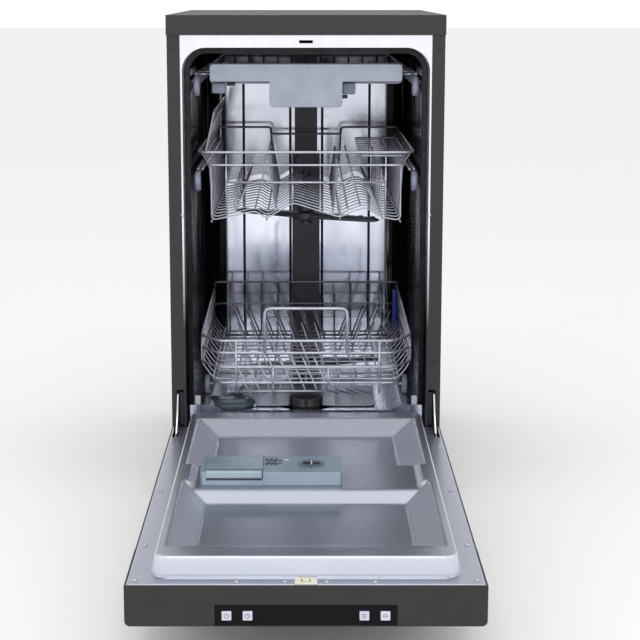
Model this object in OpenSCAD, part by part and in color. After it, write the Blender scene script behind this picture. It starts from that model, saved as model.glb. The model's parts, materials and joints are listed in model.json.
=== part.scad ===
// Built-in dishwasher, 448 mm wide class, door opened flat and racks pushed in.
// X runs across the front, Y runs from the front to the back, Z is up.
// The origin lies on the floor, midway between the four feet.
// Most basket wires are square bars as thick as the round wires that they stand for.

/* [Cabinet] */
// Overall width
body_w = 448; // [430:1:600]
// Height from the floor to the top of the cover
body_h = 815; // [800:1:980]
// Depth of the cabinet without its door
body_d = 545; // [530:1:660]
// Thickness of every sheet-metal panel
sheet = 1.2; // [0.8:0.1:1.5]
// Width of each side frame's front face
face_w = 21; // [20:1:26]
// Height of the top cover
cover_h = 32; // [24:1:40]
// Front corner radius of the top cover
cover_r = 6; // [3:1:12]
// Height of the toe panel's top edge
toe_h = 104; // [96:1:106]
// Distance of the toe panel behind the front
toe_back = 27; // [22:1:28]
// Distance of each foot from the front and the back
foot_inset = 72; // [66:1:90]
// Radius of a foot's pad
foot_r = 18; // [12:1:22]
// Radius of a foot's stem
foot_stem_r = 5; // [3:0.5:6]

/* [Tub] */
// Height of the wheel ledges on the tub floor
ledge_z = 162; // [158:1:164]
// Depth of the tub floor's basin below the ledges
basin_drop = 12; // [8:1:14]
// Space between the cabinet's outside and the tub's inside, on each side
tub_side_gap = 28; // [27:1:32]
// Radius of the tub's rounded corners
tub_r = 37; // [28:1:46]
// Space behind the tub for its cladding
tub_back_gap = 25; // [20:1:40]
// Width of the bright flange above the mouth
flange_top = 20; // [14:1:26]
// Depth from the front to the seal's seat
seat_depth = 36; // [34:1:40]
// Width of the door seal
seal_w = 11; // [8:0.5:12]

/* [Door] */
// Thickness of the door
door_t = 53; // [48:1:60]
// Height of the opened door's inner flange
door_level = 133; // [130:1:136]
// Height of the liner's rim above its flange
rim_h = 27; // [22:1:28]
// Depth of the liner's basins below the rim
basin_h = 20; // [12:1:22]
// Length of the console that caps the door
console_len = 120; // [100:1:140]
// Width of the display window
window_w = 225; // [215:1:260]
// Height of the display window
window_h = 28; // [26:1:32]
// Side length of a button
button_w = 12; // [8:1:14]
// Travel of a button
button_travel = 1; // [0.5:0.1:1.2]
// Length of the detergent dispenser across the door
dispenser_w = 205; // [190:1:215]
// Radius of the rinse-aid dial
dial_r = 19; // [14:1:21]

/* [Cutlery tray] */
// Width of the tray's handle bar
tray_w = 316; // [280:1:324]
// Height of the tray's handle bar
tray_bar_h = 29; // [22:1:34]
// Width of the handle bar's centre block
tray_block_w = 120; // [90:1:150]

/* [Baskets] */
// Thickness of the basket wires
wire = 3.2; // [2.4:0.1:3.6]
// Distance of the basket fronts behind the frame's front
basket_front = 50; // [44:1:60]
// Depth of each basket
basket_len = 420; // [380:5:425]
// Height of the upper basket
upper_h = 117; // [90:1:125]
// Height of the lower basket
lower_h = 91; // [80:1:110]
// Radius of the basket wheels and of the rail rollers
wheel_r = 17; // [13:0.5:17.4]
// Width of a wheel
wheel_w = 9; // [6:0.5:10]
// Height of the folding plate tines
tine_h = 62; // [45:1:80]

/* [Water parts] */
// Length of each spray arm from its centre
arm_r = 145; // [115:1:150]
// Radius of the salt cap
cap_r = 36; // [28:1:38]
// Radius of the filter cup
cup_r = 28; // [22:1:29]
// Radius of the water inlet's thread
inlet_r = 13.2; // [10:0.1:16]
// Radius of the drain outlet
drain_r = 10.5; // [8:0.1:12]

/* [Hidden] */
$fn = 64;
fit = 0.1;           // gap between pieces that touch
run_gap = 0.3;       // gap between a runner and its roller
hw = body_w / 2;
fy = -body_d / 2;    // the cabinet's front plane
big = 2000;

// cabinet
cover_z = body_h - cover_h;
side_z0 = 20;
side_z1 = cover_z - fit;
side_in = hw - sheet;
face_in = hw - face_w;
plug_x = hw - 9;
plug_r = 3;
plug_zs = [246, cover_z - 22];
foot_x = hw - 39;
foot_ys = [foot_inset, body_d - foot_inset];
foot_pad_h = 8;
tray_z = 24;
tray_wall = 2;
tray_h = 40;
tray_y0 = toe_back + 8;
toe_lip = 5;
tray_y1 = body_d - 30;
service_z = 50;
inlet_x = -150;
inlet_l = 16;
drain_x = 110;
drain_l = 26;
neck = 3;            // how far a neck stands out around its pipe

// tub
mouth_hw = face_in - 3;
mouth_top = cover_z - flange_top;
mouth_r = tub_r + 1;
seal_clear = 0.5;
seal_x1 = mouth_hw - seal_clear;
seal_x0 = seal_x1 - seal_w;
seal_y0 = seat_depth - 10.5;
seal_z0 = ledge_z + 1.6;
tub_hw = hw - tub_side_gap;
tub_top = mouth_top + 5;
tub_y0 = seat_depth + sheet;
tub_y1 = body_d - tub_back_gap;
sill_y = 27;
floor_t = 2;
basin_z = ledge_z - basin_drop;
wheel_x0 = tub_hw - 30;
wheel_x1 = wheel_x0 + wheel_w;
ledge_in = wheel_x0 - 4;
sump_y = 92;
sump_r = 58;
arm_y = body_d / 2 - 2;
hub_r = 8;
run_fit = 0.05;      // radial clearance of a running fit
cup_y = sump_y - sump_r + 3 + cup_r;
cap_x = -tub_hw / 2 - 27;
cap_y = sill_y + 10 + cap_r;
plate_z = basin_z + 2;
plate_x = 118;
plate_y1 = 182;

// door, drawn opened flat with its inner side up
pivot_y = -10.5;
pivot_z = door_level - 7.5;
pin_r = 4;
door_rear = -5;
tip_gap = 2;
door_len = cover_z - tip_gap - pivot_z - pivot_y;
door_z0 = door_level - door_t;
console_y = -door_len + console_len;
rim_z = door_level + rim_h;
rim_hw = mouth_hw - 5;
rim_in = 5;
rim_rear = -4;
rim_front = -door_len + 29;
rim_foot = 5;        // how far the rim's front wall slopes out
pocket_z = rim_z - basin_h;
plateau_z = rim_z - 8;
pocket_hw = rim_hw - 15;
pocket_in = 38;      // how far a basin's side walls slope in
pocket_end = 50;     // how far its end walls slope in
mid_y = -door_len * 0.472;
plateau_hl = 54;
plateau_end = pocket_end * (rim_z + 1 - plateau_z) / (rim_z + 1 - pocket_z);
arm_x = face_in + 9;
arm_t = 2.5;
slot_x1 = arm_x + arm_t + 5;
notch_y = -62;
dispenser_z = rim_z + 12;
dispenser_x = -50;
dispenser_hl = 38;
lid_w = 82;
lid_x = dispenser_x - dispenser_w / 2 + 8;
lid_y = mid_y + 33;
lid_l = 52;
lid_t = 4;
lid_pin_r = 1.5;
dial_x = dispenser_x + 58;
screw_r = 3.6;
screw_h = 1.2;
button_z = door_z0 + 14.4;
button_proud = button_travel + 0.4;
button_in = 6;
button_xs = [-98, -72, 72, 98];
latch_hw = 14;
latch_y0 = -door_len + 3.4;
latch_y1 = rim_front - rim_foot - 0.5;
latch_slot_y = latch_y0 + 6.6;

// racks
basket_y0 = basket_front;
basket_y1 = basket_front + basket_len;
upper_top = mouth_top - 173;
upper_z = upper_top - upper_h;
upper_hw = tub_hw - 39;
rim_out = tub_hw - 15;
wave_len = 126;
wave_x = -6;
wave_h = 13.5;
wave_step = 8;       // longest straight step of a wave
under_gap = 0.4;     // gap below the waves, whose straight steps cut their crests by 0.3
roller_z = upper_top - 51;
roller_y = 62;
roller_out = tub_hw - 10.5;
roller_x0 = roller_out - wheel_w;
roller_pin_r = 3;
tray_rail_z = mouth_top - 65;
tray_z1 = tray_rail_z + 37;
tray_z0 = tray_z1 - 34;
runner_t = 5;
lower_z = ledge_z + 24;
lower_top = lower_z + lower_h;
wheel_z = ledge_z + 0.5 + wheel_r;
wheel_ys = [basket_front + 50, basket_front + basket_len - 40];
shelf_x = upper_hw + 14;
shelf_z = upper_top - 12;
shelf_l = 80;
raised = 12;         // a raised shelf's lean from upright
lowered = 90;
shelf_y0 = basket_front + 45;
shelf_y1 = basket_y1 - 75;
tine_y = basket_front + 200;
tine_hw = 120;
tine_rows = [basket_front + 75, basket_front + 310, basket_front + 360];
feed_z = upper_top - 69;
pipe_z = upper_z - 2;
pipe_y = basket_y1 + 14;
duct_y0 = tub_y1 - 20;

charcoal = "#3d3d3b";
steel = "#b9bccb";
silver = "#c9ccd6";
blue_grey = "#8294a2";

// ---- helpers ----

// Puts a piece drawn from the front plane into the part's frame.
module placed() translate([0, fy, 0]) children();

// Draws a right-hand piece and its mirror image.
module both_sides() {
    children();
    mirror([1, 0, 0]) children();
}

// A box between two corners.
module block(a, b) translate(a) cube(b - a);

// A cylinder along Y from y0 to y1.
module rod_y(x, y0, y1, z, r) translate([x, y0, z]) rotate([-90, 0, 0]) cylinder(h = y1 - y0, r = r);

// A cylinder along X from x0 to x1.
module rod_x(x0, x1, y, z, r) translate([x0, y, z]) rotate([0, 90, 0]) cylinder(h = x1 - x0, r = r);

// Door-way outline in X and Z, with round top corners.
module arch(half, z0, z1, r) {
    translate([-half, z0]) square([2 * half, z1 - r - z0]);
    translate([-half + r, z0]) square([2 * (half - r), z1 - z0]);
    for (s = [-1, 1]) translate([s * (half - r), z1 - r]) circle(r = r);
}

// A doorway outline pushed back from y0 to y1.
module arch_block(half, z0, z1, r, y0, y1)
    translate([0, y1, 0]) rotate([90, 0, 0]) linear_extrude(y1 - y0) arch(half, z0, z1, r);

// Plan outline with round rear corners.
module plan(half, y0, y1, r) {
    translate([-half, y0]) square([2 * half, y1 - r - y0]);
    translate([-half + r, y0]) square([2 * (half - r), y1 - y0]);
    for (s = [-1, 1]) translate([s * (half - r), y1 - r]) circle(r = r);
}

// Rectangle outline with four round corners.
module round_rect(x0, y0, x1, y1, r) {
    translate([x0 + r, y0]) square([x1 - x0 - 2 * r, y1 - y0]);
    translate([x0, y0 + r]) square([x1 - x0, y1 - y0 - 2 * r]);
    for (x = [x0 + r, x1 - r]) for (y = [y0 + r, y1 - r]) translate([x, y]) circle(r = r);
}

// Flat grille: bars across at each height, bars up at each place.
module grille(half, z0, z1, levels, posts, t) {
    for (z = levels) translate([-half, z - t / 2]) square([2 * half, t]);
    for (x = posts) translate([x - t / 2, z0]) square([t, z1 - z0]);
}

// Evenly spaced values from a to b.
function spread(a, b, n) = [for (i = [0:n - 1]) a + (b - a) * i / (n - 1)];

// ---- cabinet ----

module side_panel() difference() {
    union() {
        block([side_in, 0, side_z0], [hw, body_d, side_z1]);
        block([face_in, 0, side_z0], [hw, sheet, side_z1]);
        block([face_in, 0, side_z0], [face_in + sheet, 18, side_z1]);
    }
    block([face_in + sheet, -1, toe_h], [slot_x1, sheet + 1, pivot_z + 14]);
    block([face_in + sheet, -1, toe_h], [arm_x + arm_t + 1.5, sheet + 1, door_level + 63]);
    for (z = plug_zs) rod_y(plug_x, -1, sheet + 1, z, plug_r);
}

module side_panel_left() color(charcoal) placed() mirror([1, 0, 0]) side_panel();

module side_panel_right() color(charcoal) placed() side_panel();

module back_panel() color("#8b8d92") placed()
    block([-side_in + fit, body_d - sheet, toe_h], [side_in - fit, body_d, side_z1]);

module top_cover() color(charcoal) placed() difference() {
    translate([0, 0, cover_z]) linear_extrude(cover_h) mirror([0, 1]) plan(hw + 1.5, -body_d, 3, cover_r);
    block([-hw + 1, 0, cover_z - 1], [hw - 1, body_d - 3, body_h - 1.5]);
}

module base_tray() color("#4b4d52") placed() difference() {
    block([-side_in + fit, tray_y0, tray_z], [side_in - fit, tray_y1, tray_z + tray_h]);
    block([-side_in + 3, tray_y0 + tray_wall, tray_z + tray_wall],
          [side_in - 3, tray_y1 - tray_wall, tray_z + tray_h + 1]);
    for (x = [-foot_x, foot_x]) for (y = foot_ys)
        translate([x, y, 0]) cylinder(h = tray_z + tray_h, r = foot_stem_r + run_fit);
    rod_y(inlet_x, tray_y1 - 5, tray_y1 + 5, service_z, inlet_r + neck + fit);
    rod_y(drain_x, tray_y1 - 5, tray_y1 + 5, service_z, drain_r + neck + fit);
}

module toe_panel() color(charcoal) placed() {
    block([-side_in + 0.3, toe_back, 12], [side_in - 0.3, toe_back + sheet, toe_h]);
    block([-side_in + 0.3, toe_back, toe_h - sheet], [side_in - 0.3, toe_back + toe_lip, toe_h]);
}

module frame_plugs() color("#2b2b2a") placed() both_sides() for (z = plug_zs) {
    rod_y(plug_x, -1, -0.05, z, plug_r + 0.8);
    rod_y(plug_x, -0.5, sheet + 1, z, plug_r - 0.1);
}

module feet() color("#2a2a2c") placed() for (x = [-foot_x, foot_x]) for (y = foot_ys) translate([x, y, 0]) {
    cylinder(h = foot_pad_h, r = foot_r);
    cylinder(h = tray_z + 22, r = foot_stem_r);
}

module hinge_covers() color("#1b1b1f") placed() both_sides() difference() {
    block([face_in + sheet + 0.2, -2, door_level + 4], [arm_x - 1.5, 17, door_level + 59]);
    block([face_in + sheet, -3, door_level + 30], [arm_x, -1.4, door_level + 31]);
    rod_y((face_in + sheet + arm_x - 1.3) / 2, -3, -1, door_level + 10, 2.2);
}

module hinge_brackets() color("#8d9096") placed() both_sides() {
    block([arm_x + arm_t + 1.2, pivot_y - 7, pivot_z - 7], [arm_x + arm_t + 3.2, 90, pivot_z + 9]);
    rod_x(arm_x - 2, arm_x + arm_t + 2, pivot_y, pivot_z, pin_r);
}

// ---- tub ----

module front_flange() color(steel) placed() {
    difference() {
        union() {
            block([-face_in + fit, 0, 128], [face_in - fit, sheet, side_z1]);
            arch_block(mouth_hw + sheet, 128, mouth_top + sheet, mouth_r + sheet, 0, tub_y0);
        }
        arch_block(mouth_hw, 100, mouth_top, mouth_r, -1, tub_y0 + 1);
        block([-11, -1, mouth_top + 7], [11, sheet + 1, mouth_top + 12]);
    }
    difference() {
        arch_block(mouth_hw + 0.2, seal_z0, mouth_top + 0.2, mouth_r + 0.2, seat_depth, tub_y0);
        arch_block(seal_x0 + 1.5, seal_z0 - 1, mouth_top - seal_w + 1, mouth_r - seal_w + 1,
                   seat_depth - 1, tub_y0 + 1);
    }
}

module door_seal() color("#17171a") placed() difference() {
    arch_block(seal_x1, seal_z0, mouth_top - seal_clear, mouth_r - seal_clear, seal_y0, seat_depth - fit);
    arch_block(seal_x0, seal_z0 - 1, mouth_top - seal_clear - seal_w, mouth_r - seal_clear - seal_w,
               seal_y0 - 1, seat_depth + 1);
}

module lower_seal() color("#1c1c20") placed()
    block([-tub_hw + 22, sill_y - 1.7, pivot_z + 8], [tub_hw - 22, sill_y - fit, pivot_z + 22]);

module seal_ends() color("#d9d8cf") placed() both_sides()
    block([seal_x0 - 10, sill_y + 0.5, ledge_z + fit], [seal_x0 - 0.5, seat_depth, ledge_z + 15]);

module door_strike() color("#9c9fa8") placed() difference() {
    block([-13, -0.9, mouth_top + 5.5], [13, -fit, mouth_top + 13.5]);
    block([-11, -2, mouth_top + 7], [11, 1, mouth_top + 12]);
}

// The tub's outer or inner volume, grown by t.
module tub_volume(t, z0) intersection() {
    arch_block(tub_hw + t, z0, tub_top + t, tub_r + t, tub_y0 - 1, tub_y1 + t);
    translate([0, 0, z0]) linear_extrude(tub_top + t - z0) plan(tub_hw + t, tub_y0, tub_y1 + t, tub_r + t);
}

module tub_shell() color(steel) placed() difference() {
    tub_volume(sheet, basin_z - 12);
    translate([0, -0.5, 0]) intersection() {
        arch_block(tub_hw, basin_z - 13, tub_top, tub_r, tub_y0 - 1, tub_y1 + 0.5);
        translate([0, 0, basin_z - 13]) linear_extrude(tub_top)
            plan(tub_hw, tub_y0 - 1, tub_y1 + 0.5, tub_r);
    }
}

// Floor section: wheel ledges, slopes and a flat basin.
module floor_section() {
    edge = tub_hw - fit;
    top = [[edge, ledge_z], [ledge_in, ledge_z], [ledge_in - 22, basin_z], [-ledge_in + 22, basin_z],
           [-ledge_in, ledge_z], [-edge, ledge_z]];
    bottom = [for (i = [5:-1:0]) [top[i][0], top[i][1] - floor_t]];
    polygon(concat(top, bottom));
}

module tub_floor() color(steel) placed() {
    difference() {
        intersection() {
            translate([0, tub_y1 - 1, 0]) rotate([90, 0, 0]) linear_extrude(tub_y1 - sill_y - 1)
                floor_section();
            translate([0, 0, basin_z - 20]) linear_extrude(60)
                plan(tub_hw - fit, sill_y, tub_y1 - fit, tub_r);
        }
        translate([0, sump_y, 0]) cylinder(h = ledge_z, r = sump_r - 2);
        translate([0, arm_y, 0]) cylinder(h = ledge_z, r = 12.5);
        translate([cap_x, cap_y, 0]) cylinder(h = big, r = cap_r + 2);
    }
    // flat seat of the salt cap
    translate([cap_x, cap_y, basin_z - floor_t]) difference() {
        cylinder(h = floor_t, r = cap_r + 2);
        translate([0, 0, -1]) cylinder(h = floor_t + 2, r = cap_r - 5.5);
    }
    difference() {
        block([-tub_hw + fit, sill_y, toe_h + 2], [tub_hw - fit, sill_y + sheet, ledge_z]);
        translate([0, sill_y + 3, 0]) rotate([90, 0, 0]) linear_extrude(6)
            polygon([[-ledge_in, ledge_z + 1], [-ledge_in + 22, basin_z + 3], [ledge_in - 22, basin_z + 3],
                     [ledge_in, ledge_z + 1]]);
    }
}

module sump() color("#3a3d42") placed() {
    difference() {
        union() {
            translate([0, sump_y, 66]) cylinder(h = basin_z - floor_t - fit - 66, r = sump_r);
            block([-18, sump_y, 70], [18, arm_y, 100]);
            translate([0, arm_y, 70]) cylinder(h = basin_z - 58, r = 12);
        }
        translate([0, sump_y, 69]) cylinder(h = basin_z, r = sump_r - 2.5);
    }
    translate([0, arm_y, basin_z]) cylinder(h = 30, r = hub_r);
    translate([0, arm_y, lower_z - 7]) cylinder(h = 3, r = 12);
}

module filter_plate() color("#a9acb6") placed() difference() {
    translate([0, 0, plate_z]) linear_extrude(1.5) round_rect(-plate_x, cup_y - 8, plate_x, plate_y1, 12);
    translate([0, cup_y, plate_z - 1]) cylinder(h = 5, r = cup_r + 1);
    translate([cap_x, cap_y, plate_z - 1]) cylinder(h = 5, r = cap_r + 2);
    for (s = [-1, 1]) for (i = [0:3])
        translate([s * (46 + i * 18), 142, plate_z - 1]) rotate([0, 0, s * 35]) translate([-1.5, -22, 0])
            cube([3, 44, 5]);
}

module filter_cup() color("#2f3338") placed() translate([0, cup_y, 0]) {
    difference() {
        union() {
            translate([0, 0, 80]) cylinder(h = plate_z + 15 - 80, r = cup_r - 4);
            translate([0, 0, plate_z + 3]) cylinder(h = 12, r = cup_r);
            for (a = [0:30:330]) rotate([0, 0, a]) translate([cup_r - 3, -2, plate_z + 3])
                cube([3.6, 4, 12]);
        }
        translate([0, 0, 83]) cylinder(h = 200, r = cup_r - 7);
    }
    translate([-cup_r + 5, -2.5, plate_z + 4]) cube([2 * cup_r - 10, 5, 14]);
}

module softener() color("#e3e4e6") placed() difference() {
    union() {
        block([cap_x - 60, sill_y + 14, 72], [min(cap_x + 50, -sump_r - 4), 210, basin_z - 16]);
        translate([cap_x, cap_y, 100]) cylinder(h = basin_z + 1 - 100, r = cap_r - 6);
    }
    translate([cap_x, cap_y, 90]) cylinder(h = 100, r = cap_r - 10);
}

module salt_cap() color("#3c4347") placed() translate([cap_x, cap_y, 0]) {
    translate([0, 0, basin_z + 1.5]) cylinder(h = 6, r = cap_r);
    translate([0, 0, basin_z - 14]) cylinder(h = 18, r = cap_r - 10.5);
    for (a = [90, 210, 330]) rotate([0, 0, a]) translate([cap_r * 0.52, 0, basin_z + 5])
        cylinder(h = 9, r = cap_r * 0.44);
}

module circulation_pump() color("#5a5e66") placed() {
    rod_x(74, tub_hw - 10, arm_y - 20, 92, 40);
    rod_x(60, 80, arm_y - 20, 92, 24);
    block([96, arm_y - 45, tray_z + tray_wall + fit], [156, arm_y + 5, 60]);
}

module drain_pump() color("#44484f") placed() {
    rod_x(sump_r + 6, 140, sump_y + 10, 84, 22);
    block([84, sump_y - 6, tray_z + tray_wall + fit], [124, sump_y + 26, 70]);
}

module water_inlet() color("#e8e8e6") placed() {
    block([inlet_x - 26, tray_y1 - 60, service_z - 20],
          [inlet_x + 26, tray_y1 - tray_wall - fit, service_z + 26]);
    rod_y(inlet_x, tray_y1 - 10, tray_y1, service_z, inlet_r + neck);
    rod_y(inlet_x, tray_y1 - 10, tray_y1 + inlet_l, service_z, inlet_r);
}

module drain_outlet() color("#2c2f34") placed() difference() {
    union() {
        rod_y(drain_x, tray_y1 - 20, tray_y1 - tray_wall - fit, service_z, drain_r + 2 * neck);
        rod_y(drain_x, tray_y1 - 20, tray_y1, service_z, drain_r + neck);
        rod_y(drain_x, tray_y1 - 20, tray_y1 + drain_l, service_z, drain_r);
    }
    rod_y(drain_x, tray_y1 - 25, tray_y1 + drain_l + 1, service_z, drain_r - 2.5);
}

module water_duct() color("#4a4d55") placed() {
    block([-27, duct_y0, basin_z + 4], [27, tub_y1 - fit, roller_z]);
    block([-22, duct_y0 + 2, roller_z - 5], [22, tub_y1 - fit, tub_top - 20]);
    block([-14, arm_y + 10, tub_top - 22], [14, tub_y1 - fit, tub_top - 6]);
    rod_y(0, duct_y0 - 8, duct_y0 + 5, feed_z, 17);
    // nozzle over the cutlery tray
    translate([0, arm_y, tub_top - 24]) cylinder(h = 6, r = 33);
    translate([0, arm_y, tub_top - 20]) cylinder(h = 19.8, r = 16);
}

module rail(z) {
    block([tub_hw - 7, roller_y - 14, z - 9], [tub_hw - 0.3, basket_y1 - 10, z + 9]);
    block([roller_out + 1, roller_y - 8, z - 3.5], [tub_hw - 5, roller_y + 8, z + 3.5]);
    rod_x(roller_x0 - 1.5, tub_hw - 5, roller_y, z, roller_pin_r);
}

module rack_rails() color("#8f95a3") placed() both_sides() {
    rail(roller_z);
    rail(tray_rail_z);
}

module rollers(z) both_sides() difference() {
    rod_x(roller_x0, roller_x0 + wheel_w, roller_y, z, wheel_r);
    rod_x(roller_x0 - 1, roller_x0 + wheel_w + 1, roller_y, z, roller_pin_r + run_fit);
}

module tray_rollers() color("#aeb2bd") placed() rollers(tray_rail_z);

module basket_rollers() color("#aeb2bd") placed() rollers(roller_z);

// ---- spray arms ----

// Blade with a hub, turned by an angle, with a hole for its bearing.
module spray_arm(bore, turn) difference() {
    union() {
        cylinder(h = 12, r = 24);
        rotate([0, 0, turn]) linear_extrude(11) {
            polygon([[-arm_r + 14, -12], [0, -20], [arm_r - 14, -12], [arm_r - 14, 12], [0, 20],
                     [-arm_r + 14, 12]]);
            for (s = [-1, 1]) translate([s * (arm_r - 14), 0]) circle(r = 12);
        }
    }
    translate([0, 0, -1]) cylinder(h = 20, r = bore);
}

module lower_spray_arm() color("#50545c") placed() translate([0, arm_y, lower_z - 20])
    spray_arm(hub_r + run_fit, 15);

// ---- door ----

module door_panel() color(charcoal) placed() difference() {
    block([-hw, console_y + 1, door_z0], [hw, door_rear, door_level - sheet - fit]);
    block([-hw + sheet, console_y, door_z0 + sheet], [hw - sheet, door_rear - sheet, door_level]);
    both_sides() block([arm_x - 2, door_rear - 5, door_level - 28], [slot_x1, door_rear + 1, door_level]);
}

// Basin-shaped slab, whose lower outline lies inside its upper one.
module slab(x, y0, y1, r, z0, z1) hull() {
    translate([0, 0, z1 - 0.01]) linear_extrude(0.01) round_rect(-x, y0, x, y1, r);
    translate([0, 0, z0]) linear_extrude(0.01)
        round_rect(-x + pocket_in, y0 + pocket_end, x - pocket_in, y1 - pocket_end, 8);
}

module rim_body(t) hull() {
    translate([0, 0, door_level - 3]) linear_extrude(0.01)
        round_rect(-rim_hw + t, rim_front - rim_foot + t, rim_hw - t, rim_rear - t, 22, $fn = 32);
    translate([0, 0, rim_z - t - 0.01]) linear_extrude(0.01)
        round_rect(-rim_hw + rim_in + t, rim_front + t, rim_hw - rim_in - t, rim_rear - 2 - t, 18, $fn = 32);
}

// The liner's two basins, grown by t on every side. Between them the slopes meet the plateau's edges.
module pockets(t) {
    slab(pocket_hw + t, mid_y + plateau_hl - plateau_end - t, rim_rear - 34 + t, 26 + t, pocket_z - t,
         rim_z + 1, $fn = 32);
    slab(pocket_hw + t, rim_front + 32 - t, mid_y - plateau_hl + plateau_end + t, 26 + t, pocket_z - t,
         rim_z + 1, $fn = 32);
}

module plateau_cut(t)
    block([-pocket_hw + 8 - t, mid_y - plateau_hl - t, plateau_z - t],
          [pocket_hw - 8 + t, mid_y + plateau_hl + t, rim_z + 5]);

module door_liner() color("#9da0ae") placed() difference() {
    union() {
        block([-side_in + 1, -door_len + 3.4, door_level - sheet], [side_in - 1, door_rear - 1, door_level]);
        rim_body(0);
    }
    difference() {
        rim_body(2);
        pockets(2);
        plateau_cut(2);
    }
    block([-big, -big, -1], [big, big, door_level - sheet]);
    pockets(0);
    plateau_cut(0);
    both_sides() block([arm_x - 1.5, notch_y, 0], [slot_x1, 1, big]);
    latch_seat();
}

// Room for the latch, with a gap all round.
module latch_seat()
    block([-latch_hw - fit, latch_y0 - fit, door_level - 8 - fit],
          [latch_hw + fit, latch_y1 + fit, door_level + 2]);

module hinge_arms() color(silver) placed() both_sides() difference() {
    translate([arm_x, 0, 0]) rotate([90, 0, 90]) linear_extrude(arm_t)
        polygon([[-130, door_level - 37], [-130, door_level - 20], [-66, door_level - 3],
                 [-48, door_level + 2], [-22, door_level + 28], [-7, door_level + 57],
                 [0, door_level + 59.5],
                 [5, door_level + 57], [6, door_level + 37], [3, door_level + 7], [2, door_level - 16],
                 [-10, door_level - 22], [-40, door_level - 34]]);
    rod_x(arm_x - 5, arm_x + arm_t + 5, pivot_y, pivot_z, pin_r + run_fit);
}

module flange_screw(x, y) translate([x, y, door_level + fit]) cylinder(h = screw_h, r = screw_r);

module door_screws() color("#c8cad2") placed() {
    for (s = [-1, 1]) for (f = [0.17, 0.48, 0.8, 0.975]) flange_screw(s * (hw - 11.5), -door_len * f);
    for (s = [-1, 1]) for (x = [26, 86]) flange_screw(s * x, -door_len + 12);
}

module door_latch() color("#d8d3c0") placed() difference() {
    block([-latch_hw, latch_y0, door_level - 8], [latch_hw, latch_y1, door_level + 1.5]);
    block([-6, latch_slot_y, door_level - 4], [6, latch_slot_y + 2.5, door_level + 2]);
    for (x = [-6, 4]) block([x, latch_slot_y, door_level - 4], [x + 2, latch_slot_y + 10, door_level + 2]);
}

// Front view of the console, with its two round lower corners.
module console_outline() {
    r = 7;
    half = hw + 0.3;
    translate([-half, door_z0 + r]) square([2 * half, door_t - r]);
    translate([-half + r, door_z0]) square([2 * (half - r), door_t]);
    for (s = [-1, 1]) translate([s * (half - r), door_z0 + r]) circle(r = r);
}

module console() color("#2f2f2e") placed() difference() {
    translate([0, console_y, 0]) rotate([90, 0, 0]) linear_extrude(console_len) console_outline();
    difference() {
        block([-hw + 2.4, -door_len + 3, door_z0 + 2.5], [hw - 2.4, console_y + 1, door_level + 1]);
        block([-window_w / 2 - 6, -door_len, door_z0],
              [window_w / 2 + 6, -door_len + 5, door_z0 + window_h + 6]);
    }
    block([-hw + 1.2, -door_len + 3, door_level - sheet - fit], [hw - 1.2, console_y + 1, door_level + 1]);
    block([-window_w / 2, -door_len - 1, door_z0 + 1.5],
          [window_w / 2, -door_len + 2, door_z0 + window_h]);
    for (x = button_xs) block([x - button_w / 2 - 0.5, -door_len - 1, button_z - button_w / 2 - 0.5],
                              [x + button_w / 2 + 0.5, -door_len + button_in + button_travel + 2,
                               button_z + button_w / 2 + 0.5]);
    latch_seat();
}

module display_window() color("#100f14") placed() difference() {
    block([-window_w / 2 + fit, -door_len - 0.3, door_z0 + 1.6],
          [window_w / 2 - fit, -door_len + 1.9, door_z0 + window_h - fit]);
    for (x = button_xs) block([x - button_w / 2 - 0.3, -door_len - 1, button_z - button_w / 2 - 0.3],
                              [x + button_w / 2 + 0.3, -door_len + 9, button_z + button_w / 2 + 0.3]);
}

// A key that stands a little proud and slides into the console.
module button(i) color("#cfd0e0") placed()
    block([button_xs[i] - button_w / 2, -door_len - button_proud, button_z - button_w / 2],
          [button_xs[i] + button_w / 2, -door_len + button_in, button_z + button_w / 2]);

module button_power() button(0);

module button_delay() button(1);

module button_program() button(2);

module button_half_load() button(3);

module dispenser_body() color(blue_grey) placed() difference() {
    x0 = dispenser_x - dispenser_w / 2;
    x1 = dispenser_x + dispenser_w / 2;
    union() {
        translate([0, 0, plateau_z + fit]) linear_extrude(dispenser_z - plateau_z - fit)
            round_rect(x0, mid_y - dispenser_hl, x1, mid_y + dispenser_hl, 6);
    }
    // detergent cup
    block([lid_x + 4, lid_y - lid_l + 3, plateau_z + 3], [lid_x + lid_w - 4, lid_y - 7, dispenser_z + 1]);
    // seat of the lid and its hinge
    block([lid_x - 0.5, lid_y - lid_l - 8, dispenser_z - lid_t - 0.8],
          [lid_x + lid_w + 0.5, lid_y + 3, dispenser_z + 1]);
    // finger gap below the lid's lip
    block([lid_x - 0.5, lid_y - lid_l - 10, dispenser_z - 12],
          [lid_x + lid_w + 0.5, lid_y - lid_l + 1, dispenser_z + 1]);
    // vents
    for (i = [0:2]) for (j = [0:1])
        block([lid_x + lid_w + 6 + i * 8, lid_y - 22 - j * 12, dispenser_z - 6],
              [lid_x + lid_w + 11 + i * 8, lid_y - 14 - j * 12, dispenser_z + 1]);
    translate([dial_x, mid_y, dispenser_z - 3]) cylinder(h = 10, r = dial_r + 0.5);
    translate([dial_x, mid_y, dispenser_z - 9]) cylinder(h = 10, r = 6 + run_fit);
}

module dispenser_lid() color("#9aaab8") placed() {
    block([lid_x, lid_y - lid_l - 7, dispenser_z - lid_t],
          [lid_x + lid_w, lid_y - lid_pin_r, dispenser_z + 1]);
    rod_x(lid_x, lid_x + lid_w, lid_y - lid_pin_r, dispenser_z - 1, lid_pin_r);
}

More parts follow.
